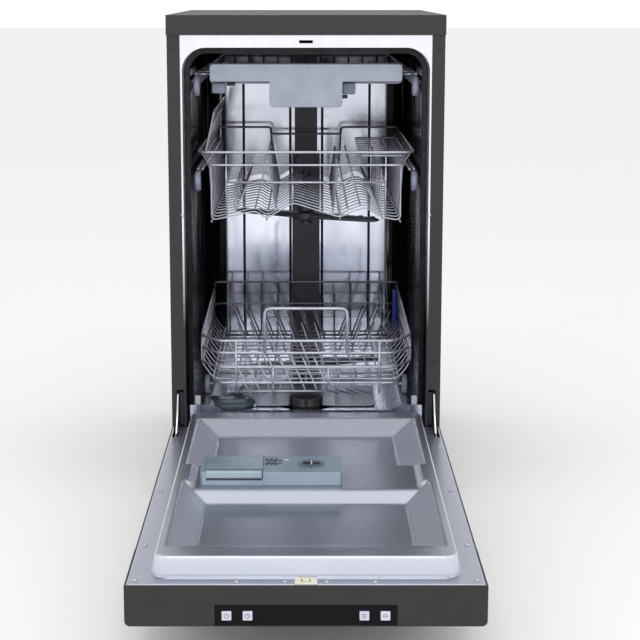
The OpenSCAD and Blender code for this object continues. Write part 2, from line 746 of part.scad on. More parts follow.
module rinse_dial() color("#6f8090") placed() translate([dial_x, mid_y, 0]) {
    translate([0, 0, dispenser_z - 8.5]) cylinder(h = 9, r = 6);
    translate([0, 0, dispenser_z - 2.8]) cylinder(h = 3.3, r = dial_r);
    translate([-1.5, -dial_r + 2, dispenser_z]) cube([3, 2 * dial_r - 4, 2]);
}

// ---- cutlery tray ----

tray_half = tray_w / 2 + 2;
tray_front = basket_y0 + 12;
tray_back = basket_y1 - 4;

// Flat grid of wires along and across, from corner (-half, y0) to (half, y1).
module flat_grid(half, y0, y1, along, across) {
    for (x = spread(-half, half - wire, along)) translate([x, y0]) square([wire, y1 - y0]);
    for (y = spread(y0, y1 - wire, across)) translate([-half, y]) square([2 * half, wire]);
}

// Comb of posts under a top bar, from (x0, z0) to (x1, z1).
module comb(x0, x1, z0, z1, posts) {
    for (x = spread(x0, x1 - wire, posts)) translate([x, z0]) square([wire, z1 - z0]);
    translate([x0, z1 - wire]) square([x1 - x0, wire]);
}

module tray_floor() color(silver) placed()
    translate([0, 0, tray_z0]) linear_extrude(wire) flat_grid(tray_half, tray_front, tray_back, 13, 13);

module tray_sides() color(silver) placed() {
    post_z = tray_z0 + wire + fit;
    for (x = [-tray_half, tray_half - wire]) translate([x, 0, 0]) rotate([90, 0, 90]) linear_extrude(wire)
        comb(tray_front, tray_back, post_z, tray_z1, 7);
    for (y = [tray_front + wire, tray_back]) translate([0, y, 0]) rotate([90, 0, 0]) linear_extrude(wire)
        comb(-tray_half + wire + fit, tray_half - wire - fit, post_z, tray_z1, 6);
    both_sides() runner(tray_half + fit, tray_front - 8, tray_back - 10, tray_rail_z);
}

// Bar that rides on the roller whose axle is at height z.
module runner(x0, y0, y1, z) {
    low = z + wheel_r + run_gap;
    block([x0, y0, low], [roller_out, y1, low + runner_t]);
}

module tray_handle() color("#969cab") placed() {
    y0 = basket_y0 - 12;
    translate([0, y0 + 20, 0]) rotate([90, 0, 0]) linear_extrude(20)
        round_rect(-tray_w / 2, tray_z1 - tray_bar_h, tray_w / 2, tray_z1, 7);
    translate([0, y0 + 12, 0]) rotate([90, 0, 0]) linear_extrude(12)
        round_rect(-tray_block_w / 2, tray_z1 - 71, tray_block_w / 2, tray_z1 - 5, 8);
}

// ---- upper basket ----

function wave(x) = upper_z + wave_h * (1 + cos(360 * (x - wave_x) / wave_len)) + wire / 2;

module wave_band() {
    steps = 2 * ceil(upper_hw / wave_step);
    xs = spread(-upper_hw, upper_hw, steps + 1);
    polygon(concat([for (x = xs) [x, wave(x) + wire / 2]],
                   [for (i = [steps:-1:0]) [xs[i], wave(xs[i]) - wire / 2]]));
}

// Height of the top of a long wire that lies under the waves at x.
function under_wave(x) = min(wave(x - wire / 2), wave(x + wire / 2)) - wire / 2 - under_gap;

module upper_floor() color(silver) placed() {
    for (y = spread(basket_y0 + 12, basket_y1 - 12, 12))
        translate([0, y + wire / 2, 0]) rotate([90, 0, 0]) linear_extrude(wire) wave_band();
    for (x = concat([for (s = [-1, 1]) s * (upper_hw - wire)], [for (i = [-2:2]) wave_x + i * wave_len / 2]))
        block([x - wire / 2, basket_y0 + 8, under_wave(x) - wire],
              [x + wire / 2, basket_y1 - 8, under_wave(x)]);
}

module upper_ends() {
    low = upper_z + 8;
    translate([0, basket_y0 + wire, 0]) rotate([90, 0, 0]) linear_extrude(wire) {
        grille(upper_hw, 0, 0, [upper_top - wire / 2, upper_top - 22], [], wire);
        grille(upper_hw - 24, 0, 0, [upper_top - 52], [], wire);
        for (s = [-1, 1])
            grille(0, low, upper_top, [], [s * (upper_hw - wire / 2), s * (upper_hw - 26)], wire);
        grille(upper_hw, 0, 0, [low], [], wire);
        grille(0, low, upper_top - 20, [], spread(-80, 80, 5), wire);
    }
    translate([0, basket_y1, 0]) rotate([90, 0, 0]) linear_extrude(wire) {
        grille(upper_hw + 3, 0, 0, [upper_top + 2, upper_top - 40], [], wire);
        grille(0, low + 16, upper_top + 2, [], spread(-upper_hw, upper_hw, 7), wire);
        grille(upper_hw, 0, 0, [low + 16], [], wire);
    }
}

// Leaning side grille between a floor edge and a rim edge, right-hand side.
module leaning_side(x0, z0, x1, z1, y0, y1, levels, posts) {
    run = norm([x1 - x0, z1 - z0]);
    lean = atan((x1 - x0) / (z1 - z0));
    translate([x0, 0, z0]) rotate([0, lean, 0]) rotate([90, 0, 90]) linear_extrude(wire) {
        for (f = spread(0, 1, levels)) translate([y0, f * (run - wire)]) square([y1 - y0, wire]);
        for (y = spread(y0, y1 - wire, posts)) translate([y, 0]) square([wire, run]);
    }
}

module upper_sides() both_sides() {
    leaning_side(upper_hw + 2, upper_z + 10, rim_out - wire, upper_top - 1, basket_y0 + 12, basket_y1 - 6,
                 4, 10);
    runner(rim_out - 4.5, basket_y0 + 12, basket_y1 - 12, roller_z);
}

module upper_walls() color(silver) placed() {
    upper_ends();
    upper_sides();
}

// Left-hand cup shelf, hinged along the basket's side and leaning in by an angle.
module cup_shelf(lean) translate([-shelf_x, 0, shelf_z]) rotate([0, lean, 0]) {
    rod_y(0, shelf_y0, shelf_y1, 0, wire / 2);
    rotate([90, 0, 90]) translate([0, 0, -wire / 2]) linear_extrude(wire) {
        for (h = [shelf_l / 2, shelf_l - wire]) translate([shelf_y0, h]) square([shelf_y1 - shelf_y0, wire]);
        for (y = spread(shelf_y0, shelf_y1 - wire, 9)) translate([y, 0]) square([wire, shelf_l]);
    }
}

module cup_shelf_left() color(silver) placed() cup_shelf(raised);

module cup_shelf_right() color(silver) placed() mirror([1, 0, 0]) cup_shelf(lowered);

module feed_pipe() color("#3f4249") placed() {
    difference() {
        rod_y(0, pipe_y - 6, duct_y0 - 9, feed_z, 19.5);
        rod_y(0, pipe_y + 2, duct_y0 - 5, feed_z, 14);
    }
    translate([0, pipe_y, pipe_z - 2]) cylinder(h = feed_z - pipe_z + 2, r = 8);
    rod_y(0, arm_y, pipe_y, pipe_z, 7.5);
    translate([0, arm_y, pipe_z - 12]) cylinder(h = 20, r = 15);
    translate([0, arm_y, pipe_z - 34]) cylinder(h = 30, r = 7);
    translate([0, arm_y, pipe_z - 36]) cylinder(h = 3, r = 11);
}

module upper_spray_arm() color("#3f4249") placed() translate([0, arm_y, pipe_z - 27])
    spray_arm(7 + run_fit, -26);

// ---- lower basket ----

module lower_floor() color(silver) placed()
    translate([0, 0, lower_z]) linear_extrude(wire)
        flat_grid(tub_hw - 40, basket_y0 + 12, basket_y1 - 4, 13, 12);

// Rows of upright plate tines, each on its own bar.
module fixed_tines() color(silver) placed() for (y = tine_rows) {
    low = lower_z + wire + fit;
    block([-tub_hw + 40, y - wire / 2, low], [tub_hw - 40, y + wire / 2, low + wire]);
    for (x = spread(-tine_hw, tine_hw, 9))
        block([x - wire / 2, y - wire / 2, low], [x + wire / 2, y + wire / 2, low + tine_h]);
}

module lower_ends() {
    half = tub_hw - 42;
    translate([0, basket_y0 + wire, 0]) rotate([90, 0, 0]) linear_extrude(wire) {
        grille(half, 0, 0, [lower_z + 10, lower_z + 35, lower_z + 60, lower_top - 10], [], wire);
        for (s = [-1, 1])
            grille(0, lower_z + 2, lower_top - 8.5, [], [s * (half - wire / 2), s * 120, s * 46], wire);
        for (s = [-1, 1]) translate([s * 70 - wire / 2, lower_z + 33]) square([wire, lower_h + 16 - wire]);
        translate([-70 - wire / 2, lower_top + 49 - wire]) square([140 + wire, wire]);
        for (s = [-1, 1]) translate([s * 70 - wire / 2, lower_top - 10]) square([wire, 59]);
    }
    translate([0, basket_y1, 0]) rotate([90, 0, 0]) linear_extrude(wire) {
        grille(half + 8, 0, 0, [lower_top + 8, lower_z + 56, lower_z + 10], [], wire);
        grille(0, lower_z + 8, lower_top + 8, [], spread(-half, half, 9), wire);
    }
}

module lower_sides() both_sides() {
    half = tub_hw - 38;
    leaning_side(half, lower_z + 2, rim_out - wire, lower_top, basket_y0 + 12, basket_y1 - 6, 4, 12);
    // wheel holders, on the sides' inner faces
    for (y = wheel_ys) {
        block([half - 2 + fit, y - 10, wheel_z - 6], [half - fit, y + 10, lower_z + 10]);
        rod_x(half - 1, wheel_x1 - 1, y, wheel_z, roller_pin_r);
    }
}

module lower_walls() color(silver) placed() {
    lower_ends();
    lower_sides();
}

module lower_tines() color(silver) placed() {
    rod_x(-128, 128, tine_y, lower_z + 8, wire / 2);
    for (x = spread(-105, 105, 8)) translate([x, tine_y, lower_z + 8]) cylinder(h = tine_h, r = wire / 2);
}

module basket_wheels(y) both_sides() difference() {
    rod_x(wheel_x0, wheel_x1, y, wheel_z, wheel_r);
    rod_x(wheel_x0 - 1, wheel_x1 + 1, y, wheel_z, roller_pin_r + run_fit);
}

module wheels_front() color("#7d8494") placed() basket_wheels(wheel_ys[0]);

module wheels_rear() color("#7d8494") placed() basket_wheels(wheel_ys[1]);

side_panel_left();
side_panel_right();
back_panel();
top_cover();
base_tray();
toe_panel();
frame_plugs();
feet();
hinge_covers();
hinge_brackets();
front_flange();
door_seal();
lower_seal();
seal_ends();
door_strike();
tub_shell();
tub_floor();
sump();
filter_plate();
filter_cup();
softener();
salt_cap();
circulation_pump();
drain_pump();
water_inlet();
drain_outlet();
water_duct();
rack_rails();
tray_rollers();
basket_rollers();
lower_spray_arm();
door_panel();
door_liner();
hinge_arms();
door_screws();
door_latch();
console();
display_window();
button_power();
button_delay();
button_program();
button_half_load();
dispenser_body();
dispenser_lid();
rinse_dial();
tray_floor();
tray_sides();
tray_handle();
upper_floor();
upper_walls();
cup_shelf_left();
cup_shelf_right();
feed_pipe();
upper_spray_arm();
lower_floor();
lower_walls();
fixed_tines();
lower_tines();
wheels_front();
wheels_rear();
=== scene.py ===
"""Narrow built-in dishwasher with its door opened flat, two wire baskets and a cutlery tray."""
import json
import math

import bmesh
import bpy
import numpy as np
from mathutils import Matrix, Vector


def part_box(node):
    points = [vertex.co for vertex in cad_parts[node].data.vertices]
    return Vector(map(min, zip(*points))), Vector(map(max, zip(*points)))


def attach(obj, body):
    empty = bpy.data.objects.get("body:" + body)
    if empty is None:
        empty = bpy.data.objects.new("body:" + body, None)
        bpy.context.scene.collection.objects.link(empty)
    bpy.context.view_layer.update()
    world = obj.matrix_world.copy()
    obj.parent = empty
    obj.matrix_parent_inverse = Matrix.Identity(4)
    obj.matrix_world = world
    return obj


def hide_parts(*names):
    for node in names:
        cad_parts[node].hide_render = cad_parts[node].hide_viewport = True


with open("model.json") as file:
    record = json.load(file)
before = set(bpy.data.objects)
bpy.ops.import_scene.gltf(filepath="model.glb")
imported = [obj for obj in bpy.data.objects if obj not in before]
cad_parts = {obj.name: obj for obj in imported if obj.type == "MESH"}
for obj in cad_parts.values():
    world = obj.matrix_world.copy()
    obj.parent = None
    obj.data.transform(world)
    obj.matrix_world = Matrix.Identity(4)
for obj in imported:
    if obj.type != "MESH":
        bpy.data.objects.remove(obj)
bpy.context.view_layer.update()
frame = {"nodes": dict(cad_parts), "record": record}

bl_info = {
    "name": "Built-in dishwasher",
    "version": (1, 0, 0),
    "blender": (4, 5, 0),
    "location": "View3D > Sidebar > Dishwasher",
    "description": "Finishes and finely shaped pieces of a narrow built-in dishwasher",
    "category": "Object",
}

MM = 0.001
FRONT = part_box("side_panel_left")[0].y      # front plane of the cabinet


# ---- frame and mesh helpers ----

def box(name):
    """Lowest and highest corner of a CAD node, as two arrays."""
    low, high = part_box(name)
    return np.array(low), np.array(high)


def put(name, vertices, faces, material, body, replaced=(), slot=None, smooth=True):
    """Makes a mesh piece from arrays, gives it its finish and lets it ride on a body."""
    mesh = bpy.data.meshes.new(name)
    points = np.asarray(vertices, float).reshape(-1, 3).tolist()
    mesh.from_pydata(points, [], [list(map(int, face)) for face in faces])
    mesh.update()
    piece = bpy.data.objects.new(name, mesh)
    bpy.context.scene.collection.objects.link(piece)
    return dress(piece, material, body, replaced, smooth)


def dress(piece, material, body, replaced=(), smooth=True):
    """Gives a piece its material, its body, the nodes that it stands for and smooth shading."""
    piece.data.materials.clear()
    piece.data.materials.append(material)
    if smooth:
        piece.data.shade_smooth()
    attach(piece, body)
    if replaced:
        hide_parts(*replaced)
    return piece


def quads(rows, columns, close_rows=False, close_columns=False, offset=0):
    """Faces of a grid of rows by columns points, wrapped round where a direction is closed."""
    i = np.arange(rows if close_rows else rows - 1)[:, None]
    j = np.arange(columns if close_columns else columns - 1)[None, :]
    i2 = (i + 1) % rows
    j2 = (j + 1) % columns
    parts = [i * columns + j, i2 * columns + j, i2 * columns + j2, i * columns + j2]
    return (np.stack(np.broadcast_arrays(*parts), -1).reshape(-1, 4) + offset)


def unit(vectors):
    """Vectors scaled to length one."""
    return vectors / np.maximum(np.linalg.norm(vectors, axis=-1, keepdims=True), 1e-12)


def at(points):
    """Points in millimetres behind the cabinet's front, in the frame's metres."""
    points = np.array(points, float) * MM
    points[..., 1] += FRONT
    return points


def bent(points, radius, closed=False, steps=5):
    """A bar's centre line. Each corner is a quadratic curve that leaves the run `radius` before the corner
    and joins the next run `radius` after it: (1-t)^2 a + 2t(1-t) corner + t^2 b."""
    points = np.asarray(points, float)
    t = np.linspace(0, 1, steps)[:, None]
    if closed:
        runs = zip(np.roll(points, 1, 0), points, np.roll(points, -1, 0))
    else:
        runs = zip(points[:-2], points[1:-1], points[2:])
    path = []
    for before, corner, after in runs:
        a = corner + unit(before - corner) * min(radius, np.linalg.norm(before - corner) * 0.48)
        b = corner + unit(after - corner) * min(radius, np.linalg.norm(after - corner) * 0.48)
        path.append((1 - t) ** 2 * a + 2 * t * (1 - t) * corner + t ** 2 * b)
    if not closed:
        path = [points[:1], *path, points[-1:]]
    return np.concatenate(path)


def swept(path, radius, sides=8, closed=False):
    """Round bar: a circle of `radius` carried along the path. At each point the circle stands square to
    the path's direction d, on the axes p x d and d x (p x d), where p is the normal of its best plane."""
    path = np.asarray(path, float)
    if closed:
        along = unit(np.roll(path, -1, 0) - np.roll(path, 1, 0))
    else:
        along = unit(np.gradient(path, axis=0))
    plane = np.linalg.svd(path - path.mean(0), full_matrices=True)[2][-1]
    first = unit(np.cross(plane, along))
    second = np.cross(along, first)
    angle = np.linspace(0, 2 * math.pi, sides, endpoint=False)
    ring = first[:, None] * np.cos(angle)[None, :, None] + second[:, None] * np.sin(angle)[None, :, None]
    points = path[:, None] + radius * ring
    faces = quads(len(path), sides, closed, True).tolist()
    if not closed:
        faces += [list(range(sides)), list(range((len(path) - 1) * sides, len(path) * sides))[::-1]]
    return points.reshape(-1, 3), faces


def joined(parts):
    """One vertex array and one face list from several."""
    vertices, faces, start = [], [], 0
    for points, polygons in parts:
        vertices.append(np.asarray(points, float).reshape(-1, 3))
        faces += [[int(v) + start for v in polygon] for polygon in polygons]
        start += len(vertices[-1])
    return np.concatenate(vertices), faces


def outward(piece):
    """Turns every face of a closed piece to point outwards."""
    work = bmesh.new()
    work.from_mesh(piece.data)
    bmesh.ops.remove_doubles(work, verts=work.verts, dist=1e-7)
    bmesh.ops.recalc_face_normals(work, faces=work.faces)
    work.to_mesh(piece.data)
    work.free()
    return piece


def wires(name, paths, material, body, replaced=(), slot="coated_wire", sides=8):
    """A welded wire piece. Each path is a list of corners in millimetres, its radius, its bend and whether
    it is closed; all of them are swept as round bars in one mesh."""
    bars = [swept(bent(at(corners), bend * MM, closed), radius * MM, sides, closed)
            for corners, radius, bend, closed in paths]
    return outward(put(name, *joined(bars), material, body, replaced, slot))


def turned(profile, centre, steps=64, axis="z", closed=False):
    """Lathe form: the profile's (radius, height) points turned about an axis through the centre. A closed
    profile makes a ring; an open one is capped at both ends."""
    profile = np.asarray(profile, float)
    angle = np.linspace(0, 2 * math.pi, steps, endpoint=False)
    r, h = profile[:, 0][:, None], profile[:, 1][:, None]
    a, b, c = r * np.cos(angle), r * np.sin(angle), np.broadcast_to(h, (len(profile), steps))
    order = {"z": (a, b, c), "x": (c, a, b), "y": (b, c, a)}[axis]
    points = np.stack(order, -1) + np.asarray(centre, float)
    faces = quads(len(profile), steps, closed, True).tolist()
    if not closed:
        faces += [list(range(steps))[::-1], list(range((len(profile) - 1) * steps, len(profile) * steps))]
    return points.reshape(-1, 3), faces


def softened(node, material, width, segments=2):
    """A copy of a CAD node with merged faces and edges rounded by `width` where they turn by 35 degrees or
    more, in place of the node."""
    source = frame["nodes"][node]
    mesh = source.data.copy()
    work = bmesh.new()
    work.from_mesh(mesh)
    bmesh.ops.remove_doubles(work, verts=work.verts, dist=2e-6)
    bmesh.ops.dissolve_limit(work, angle_limit=math.radians(1.0), verts=work.verts, edges=work.edges)
    work.to_mesh(mesh)
    work.free()
    if mesh.has_custom_normals:
        mesh.attributes.remove(mesh.attributes["custom_normal"])
    piece = bpy.data.objects.new(node + "_piece", mesh)
    bpy.context.scene.collection.objects.link(piece)
    piece.matrix_world = source.matrix_world.copy()
    dress(piece, material, BODY_OF[node], (node,), smooth=False)
    bevel = piece.modifiers.new("rounded edges", "BEVEL")
    bevel.width = width
    bevel.segments = segments
    bevel.limit_method = "ANGLE"
    bevel.angle_limit = math.radians(35)
    bevel.harden_normals = False
    return piece


def paint(material, *nodes):
    """Gives CAD nodes, which keep their meshes, a finish."""
    for name in nodes:
        mesh = frame["nodes"][name].data
        mesh.materials.clear()
        mesh.materials.append(material)


BODY_OF = {n: body for body, nodes in frame["record"]["behaviour"]["bodies"].items() for n in nodes}


# ---- finishes ----

def linear(colour, alpha=1.0):
    """Linear colour of an sRGB hex value."""
    value = np.array([int(colour.lstrip("#")[i:i + 2], 16) / 255 for i in (0, 2, 4)])
    value = np.where(value <= 0.04045, value / 12.92, ((value + 0.055) / 1.055) ** 2.4)
    return (*value.tolist(), alpha)


def add(tree, kind, values=None, links=None, **settings):
    """Adds one node with its settings, its socket values and the sockets that feed it."""
    made = tree.nodes.new(kind)
    for key, value in settings.items():
        setattr(made, key, value)
    for key, value in (values or {}).items():
        made.inputs[key].default_value = value
    for key, source in (links or {}).items():
        tree.links.new(source, made.inputs[key])
    return made


def finish(name, colour, roughness, metallic=0.0, **sockets):
    """A material with one shader; returns the material, its tree, its shader and the object coordinates."""
    material = bpy.data.materials.new(name)
    material.use_nodes = True
    tree = material.node_tree
    shader = tree.nodes["Principled BSDF"]
    shader.inputs["Base Color"].default_value = linear(colour)
    shader.inputs["Roughness"].default_value = roughness
    shader.inputs["Metallic"].default_value = metallic
    for key, value in sockets.items():
        socket = key.replace("_", " ").title().replace("Ior", "IOR")
        shader.inputs[socket].default_value = value
    material.diffuse_color = linear(colour)
    where = add(tree, "ShaderNodeTexCoord").outputs["Object"]
    return material, tree, shader, where


def grain(tree, where, size, detail=2.0, stretch=(1, 1, 1), rough=0.5):
    """Noise whose lumps are `size` metres across, drawn out along an axis by a stretch above one."""
    scaled = add(tree, "ShaderNodeMapping", {"Scale": tuple(1 / s for s in stretch)}, {"Vector": where})
    return add(tree, "ShaderNodeTexNoise", {"Scale": 1 / size, "Detail": detail, "Roughness": rough},
               {"Vector": scaled.outputs["Vector"]}).outputs["Fac"]


def ramp(tree, value, low, high, out_low, out_high):
    """Value mapped from low..high to out_low..out_high, held at both ends."""
    return add(tree, "ShaderNodeMapRange", {"From Min": low, "From Max": high, "To Min": out_low,
                                            "To Max": out_high}, {"Value": value}).outputs["Result"]


def blended(tree, factor, first, second):
    """Colour between two sRGB hex values."""
    made = add(tree, "ShaderNodeMix", {}, {"Factor": factor}, data_type="RGBA")
    made.inputs[6].default_value = linear(first)
    made.inputs[7].default_value = linear(second)
    return made.outputs[2]


def bump(tree, shader, height, depth):
    """Relief `depth` metres deep from a 0..1 height."""
    made = add(tree, "ShaderNodeBump", {"Strength": 1.0, "Distance": depth}, {"Height": height})
    tree.links.new(made.outputs["Normal"], shader.inputs["Normal"])


def powder_coated_steel(name, colour, roughness=0.5):
    """Powder coat on sheet steel: a satin skin with a faint orange peel, 3 mm across, and a little dust."""
    material, tree, shader, where = finish(name, colour, roughness, specular_ior_level=0.28)
    peel = grain(tree, where, 3 * MM)
    bump(tree, shader, peel, 0.03 * MM)
    dust = grain(tree, where, 60 * MM, 4)
    rough = ramp(tree, dust, 0.3, 0.7, roughness - 0.02, roughness + 0.02)
    tree.links.new(rough, shader.inputs["Roughness"])
    return material


def galvanised_steel(name, colour="#9a9da3"):
    """Hot-dip zinc: crystal spangle 12 mm across, dull and patchy."""
    material, tree, shader, where = finish(name, colour, 0.45, 0.85)
    cells = add(tree, "ShaderNodeTexVoronoi", {"Scale": 1 / (12 * MM)}, {"Vector": where}).outputs["Color"]
    tone = add(tree, "ShaderNodeSeparateColor", {}, {"Color": cells}).outputs["Red"]
    tree.links.new(blended(tree, tone, "#868a91", "#a9adb4"), shader.inputs["Base Color"])
    tree.links.new(ramp(tree, tone, 0, 1, 0.35, 0.55), shader.inputs["Roughness"])
    return material


def bright_annealed_steel(name, colour, dark, side_start, ceiling, roughness=0.12):
    """Bright-annealed stainless sheet: nearly a mirror, wavy over 90 mm where it was pressed. Beyond
    `side_start` and above `ceiling` it faces the dark gaps round the racks, so its colour is painted
    almost black there as a painted reflection of them, with upright stripes of painted highlight."""
    material, tree, shader, where = finish(name, colour, roughness, 1.0)
    waves = grain(tree, where, 90 * MM, 1, (1, 1, 3))
    bump(tree, shader, waves, 0.5 * MM)
    smears = grain(tree, where, 25 * MM, 3, (1, 1, 6))
    rough = ramp(tree, smears, 0.3, 0.75, roughness - 0.05, roughness + 0.1)
    tree.links.new(rough, shader.inputs["Roughness"])
    place = add(tree, "ShaderNodeSeparateXYZ", {}, {"Vector": where}).outputs
    away = add(tree, "ShaderNodeMath", {}, {0: place["X"]}, operation="ABSOLUTE").outputs["Value"]
    # painted shade: the sides and the ceiling get the near-black colour of the dark gaps that they reflect
    side = ramp(tree, away, side_start, side_start + 5 * MM, 0, 1)
    above = ramp(tree, place["Z"], ceiling, ceiling + 6 * MM, 0, 1)
    painted_shade = add(tree, "ShaderNodeMath", {}, {0: side, 1: above}, operation="MAXIMUM").outputs["Value"]
    # painted highlight: upright stripes where the bright steel colour stays
    painted_highlight_streaks = ramp(tree, grain(tree, where, 11 * MM, 3, (1, 1, 30)), 0.6, 0.7, 1, 0.1)
    factor = add(tree, "ShaderNodeMath", {}, {0: painted_shade, 1: painted_highlight_streaks}, operation="MULTIPLY").outputs["Value"]
    tree.links.new(blended(tree, factor, colour, dark), shader.inputs["Base Color"])
    tree.links.new(ramp(tree, factor, 0, 1, 1, 0), shader.inputs["Metallic"])
    tree.links.new(ramp(tree, factor, 0, 1, 0.5, 0.12), shader.inputs["Specular IOR Level"])
    return material


def brushed_stainless(name, colour, light, roughness=0.3):
    """Satin stainless sheet: hair lines along X. Real ones are 0.2 mm apart; they are drawn 0.8 mm apart and
    shallow, so that they only soften the light. The sheet's own `slope` attribute paints the pressed slopes
    lighter and less metallic, as painted light."""
    material, tree, shader, where = finish(name, colour, roughness, 0.85, specular_ior_level=0.6)
    lines = grain(tree, where, 0.8 * MM, 2, (40, 1, 1))
    slope = add(tree, "ShaderNodeAttribute", attribute_name="slope").outputs["Fac"]
    # painted light: the slopes get the lighter colour
    tree.links.new(blended(tree, slope, colour, light), shader.inputs["Base Color"])
    tree.links.new(ramp(tree, slope, 0, 1, 0.9, 0.35), shader.inputs["Metallic"])
    rough = ramp(tree, lines, 0.3, 0.7, roughness - 0.03, roughness + 0.04)
    tree.links.new(rough, shader.inputs["Roughness"])
    bump(tree, shader, lines, 0.004 * MM)
    return material


def flange_steel(name, colour, dark, start, end):
    """Bright rolled steel of the front flange: white above `end`, and painted darker down to `start`, as
    painted shade where it faces the door."""
    material, tree, shader, where = finish(name, colour, 0.25, 0.75)
    height = add(tree, "ShaderNodeSeparateXYZ", {}, {"Vector": where}).outputs["Z"]
    # painted shade: the colour darkens towards the bottom of the flange
    tone = blended(tree, ramp(tree, height, start, end, 0, 1), dark, colour)
    tree.links.new(tone, shader.inputs["Base Color"])
    smears = grain(tree, where, 30 * MM, 2, (1, 1, 5))
    tree.links.new(ramp(tree, smears, 0.3, 0.7, 0.2, 0.32), shader.inputs["Roughness"])
    return material


def bright_steel(name, colour="#c9ccd6", roughness=0.18):
    """Rolled bright steel: thin scratches along Z, 1 mm apart."""
    material, tree, shader, where = finish(name, colour, roughness, 1.0)
    lines = grain(tree, where, 1 * MM, 2, (1, 1, 30))
    rough = ramp(tree, lines, 0.3, 0.7, roughness - 0.06, roughness + 0.12)
    tree.links.new(rough, shader.inputs["Roughness"])
    return material


def nylon_coated_wire(name, colour, light, deep, start, end):
    """Nylon powder fused on steel wire: smooth, waxy, with soft highlights and 4 mm ripples. It darkens
    from `start` to `end` into the tub, where less light falls."""
    material, tree, shader, where = finish(name, colour, 0.26, 0.5, coat_weight=0.25, coat_roughness=0.15)
    bump(tree, shader, grain(tree, where, 4 * MM), 0.05 * MM)
    tone = blended(tree, ramp(tree, grain(tree, where, 40 * MM, 3), 0.35, 0.65, 0, 1), colour, light)
    # painted shade: the colour darkens from start to end, deeper into the tub
    depth = add(tree, "ShaderNodeSeparateXYZ", {}, {"Vector": where}).outputs["Y"]
    shade = add(tree, "ShaderNodeMix", {"Factor": 0}, {"Factor": ramp(tree, depth, start, end, 0, 0.7)},
                data_type="RGBA")
    tree.links.new(tone, shade.inputs[6])
    shade.inputs[7].default_value = linear(deep)
    tree.links.new(shade.outputs[2], shader.inputs["Base Color"])
    return material


def epdm_rubber(name, colour="#131315"):
    """Extruded EPDM rubber: matt black with a faint bloom and pits 2 mm across."""
    material, tree, shader, where = finish(name, colour, 0.62, specular_ior_level=0.4)
    bloom = grain(tree, where, 20 * MM, 4)
    tone = blended(tree, ramp(tree, bloom, 0.4, 0.7, 0, 1), colour, "#26262a")
    tree.links.new(tone, shader.inputs["Base Color"])
    bump(tree, shader, grain(tree, where, 2 * MM), 0.06 * MM)
    return material


def moulded_plastic(name, colour, light, roughness, texture=1.2, front=None):
    """Injection-moulded polypropylene, ABS, acetal or polyamide: a spark-eroded texture, drawn `texture`
    millimetres across, and faint flow marks. A front is the place and the two colours of a face towards
    -Y that is painted lighter where it catches more light, as painted light."""
    material, tree, shader, where = finish(name, colour, roughness, specular_ior_level=0.45)
    bump(tree, shader, grain(tree, where, texture * MM, 3), 0.03 * MM)
    flow = grain(tree, where, 35 * MM, 3)
    mottle = ramp(tree, flow, 0.35, 0.7, 0, 1)
    tone = blended(tree, mottle, colour, light)
    if front:
        place, face, face_painted_light = front
        # painted light: the face towards -Y gets the lighter pair of colours
        depth = add(tree, "ShaderNodeSeparateXYZ", {}, {"Vector": where}).outputs["Y"]
        near = ramp(tree, depth, place + 0.4 * MM, place + 1.6 * MM, 1, 0)
        mixed = add(tree, "ShaderNodeMix", {}, {"Factor": near}, data_type="RGBA")
        tree.links.new(tone, mixed.inputs[6])
        tree.links.new(blended(tree, mottle, face, face_painted_light), mixed.inputs[7])
        tone = mixed.outputs[2]
    tree.links.new(tone, shader.inputs["Base Color"])
    rough = ramp(tree, flow, 0.3, 0.7, roughness - 0.05, roughness + 0.07)
    tree.links.new(rough, shader.inputs["Roughness"])
    return material


def gloss_panel(name, colour="#0b0a0e"):
    """Smoked acrylic display cover: deep black under a hard clear skin."""
    material, tree, shader, where = finish(name, colour, 0.08, specular_ior_level=0.12)
    smears = grain(tree, where, 30 * MM, 3)
    tree.links.new(ramp(tree, smears, 0.35, 0.7, 0.05, 0.11), shader.inputs["Roughness"])
    return material


def perforated_stainless(name, colour="#9fa2ac"):
    """Stainless filter sheet: round holes, drawn 3 mm apart so that they show, as dark dots of painted shade.
    """
    material, tree, shader, where = finish(name, colour, 0.3, 1.0)
    cells = add(tree, "ShaderNodeTexVoronoi", {"Scale": 1 / (3 * MM), "Randomness": 0.0}, {"Vector": where})
    hole_painted_shade = ramp(tree, cells.outputs["Distance"], 0.28, 0.36, 1, 0)
    # painted shade: the holes are dark dots in the colour
    tree.links.new(blended(tree, hole_painted_shade, colour, "#2a2b30"), shader.inputs["Base Color"])
    tree.links.new(ramp(tree, hole_painted_shade, 0, 1, 0.28, 0.8), shader.inputs["Roughness"])
    return material


class DishwasherFinishes(bpy.types.PropertyGroup):
    """Colours that a user would change, as sRGB hex values."""
    body: bpy.props.StringProperty(name="Body", description="Powder coat of the cabinet", default="#333332")
    console: bpy.props.StringProperty(name="Console", description="Plastic of the control strip",
                                      default="#1f1f1f")
    tub: bpy.props.StringProperty(name="Tub", description="Steel of the tub's back wall", default="#e6e9f6")
    # painted reflection: the near-black colour of the sides and ceiling stands for the dark gaps reflected in
    # them
    tub_side_painted_shade: bpy.props.StringProperty(name="Tub sides", description="Steel of its sides and ceiling",
                                       default="#0b0b0e")
    liner: bpy.props.StringProperty(name="Liner", description="Steel of the door's inner side",
                                    default="#a9acb9")
    wire: bpy.props.StringProperty(name="Wire", description="Nylon coat of the baskets", default="#abadbb")
    fittings: bpy.props.StringProperty(name="Fittings", description="Plastic of the dispenser",
                                       default="#697887")
    tray: bpy.props.StringProperty(name="Tray", description="Plastic of the tray's handle", default="#969cab")
    dark: bpy.props.StringProperty(name="Dark plastic", description="Spray arms and duct", default="#3e424a")


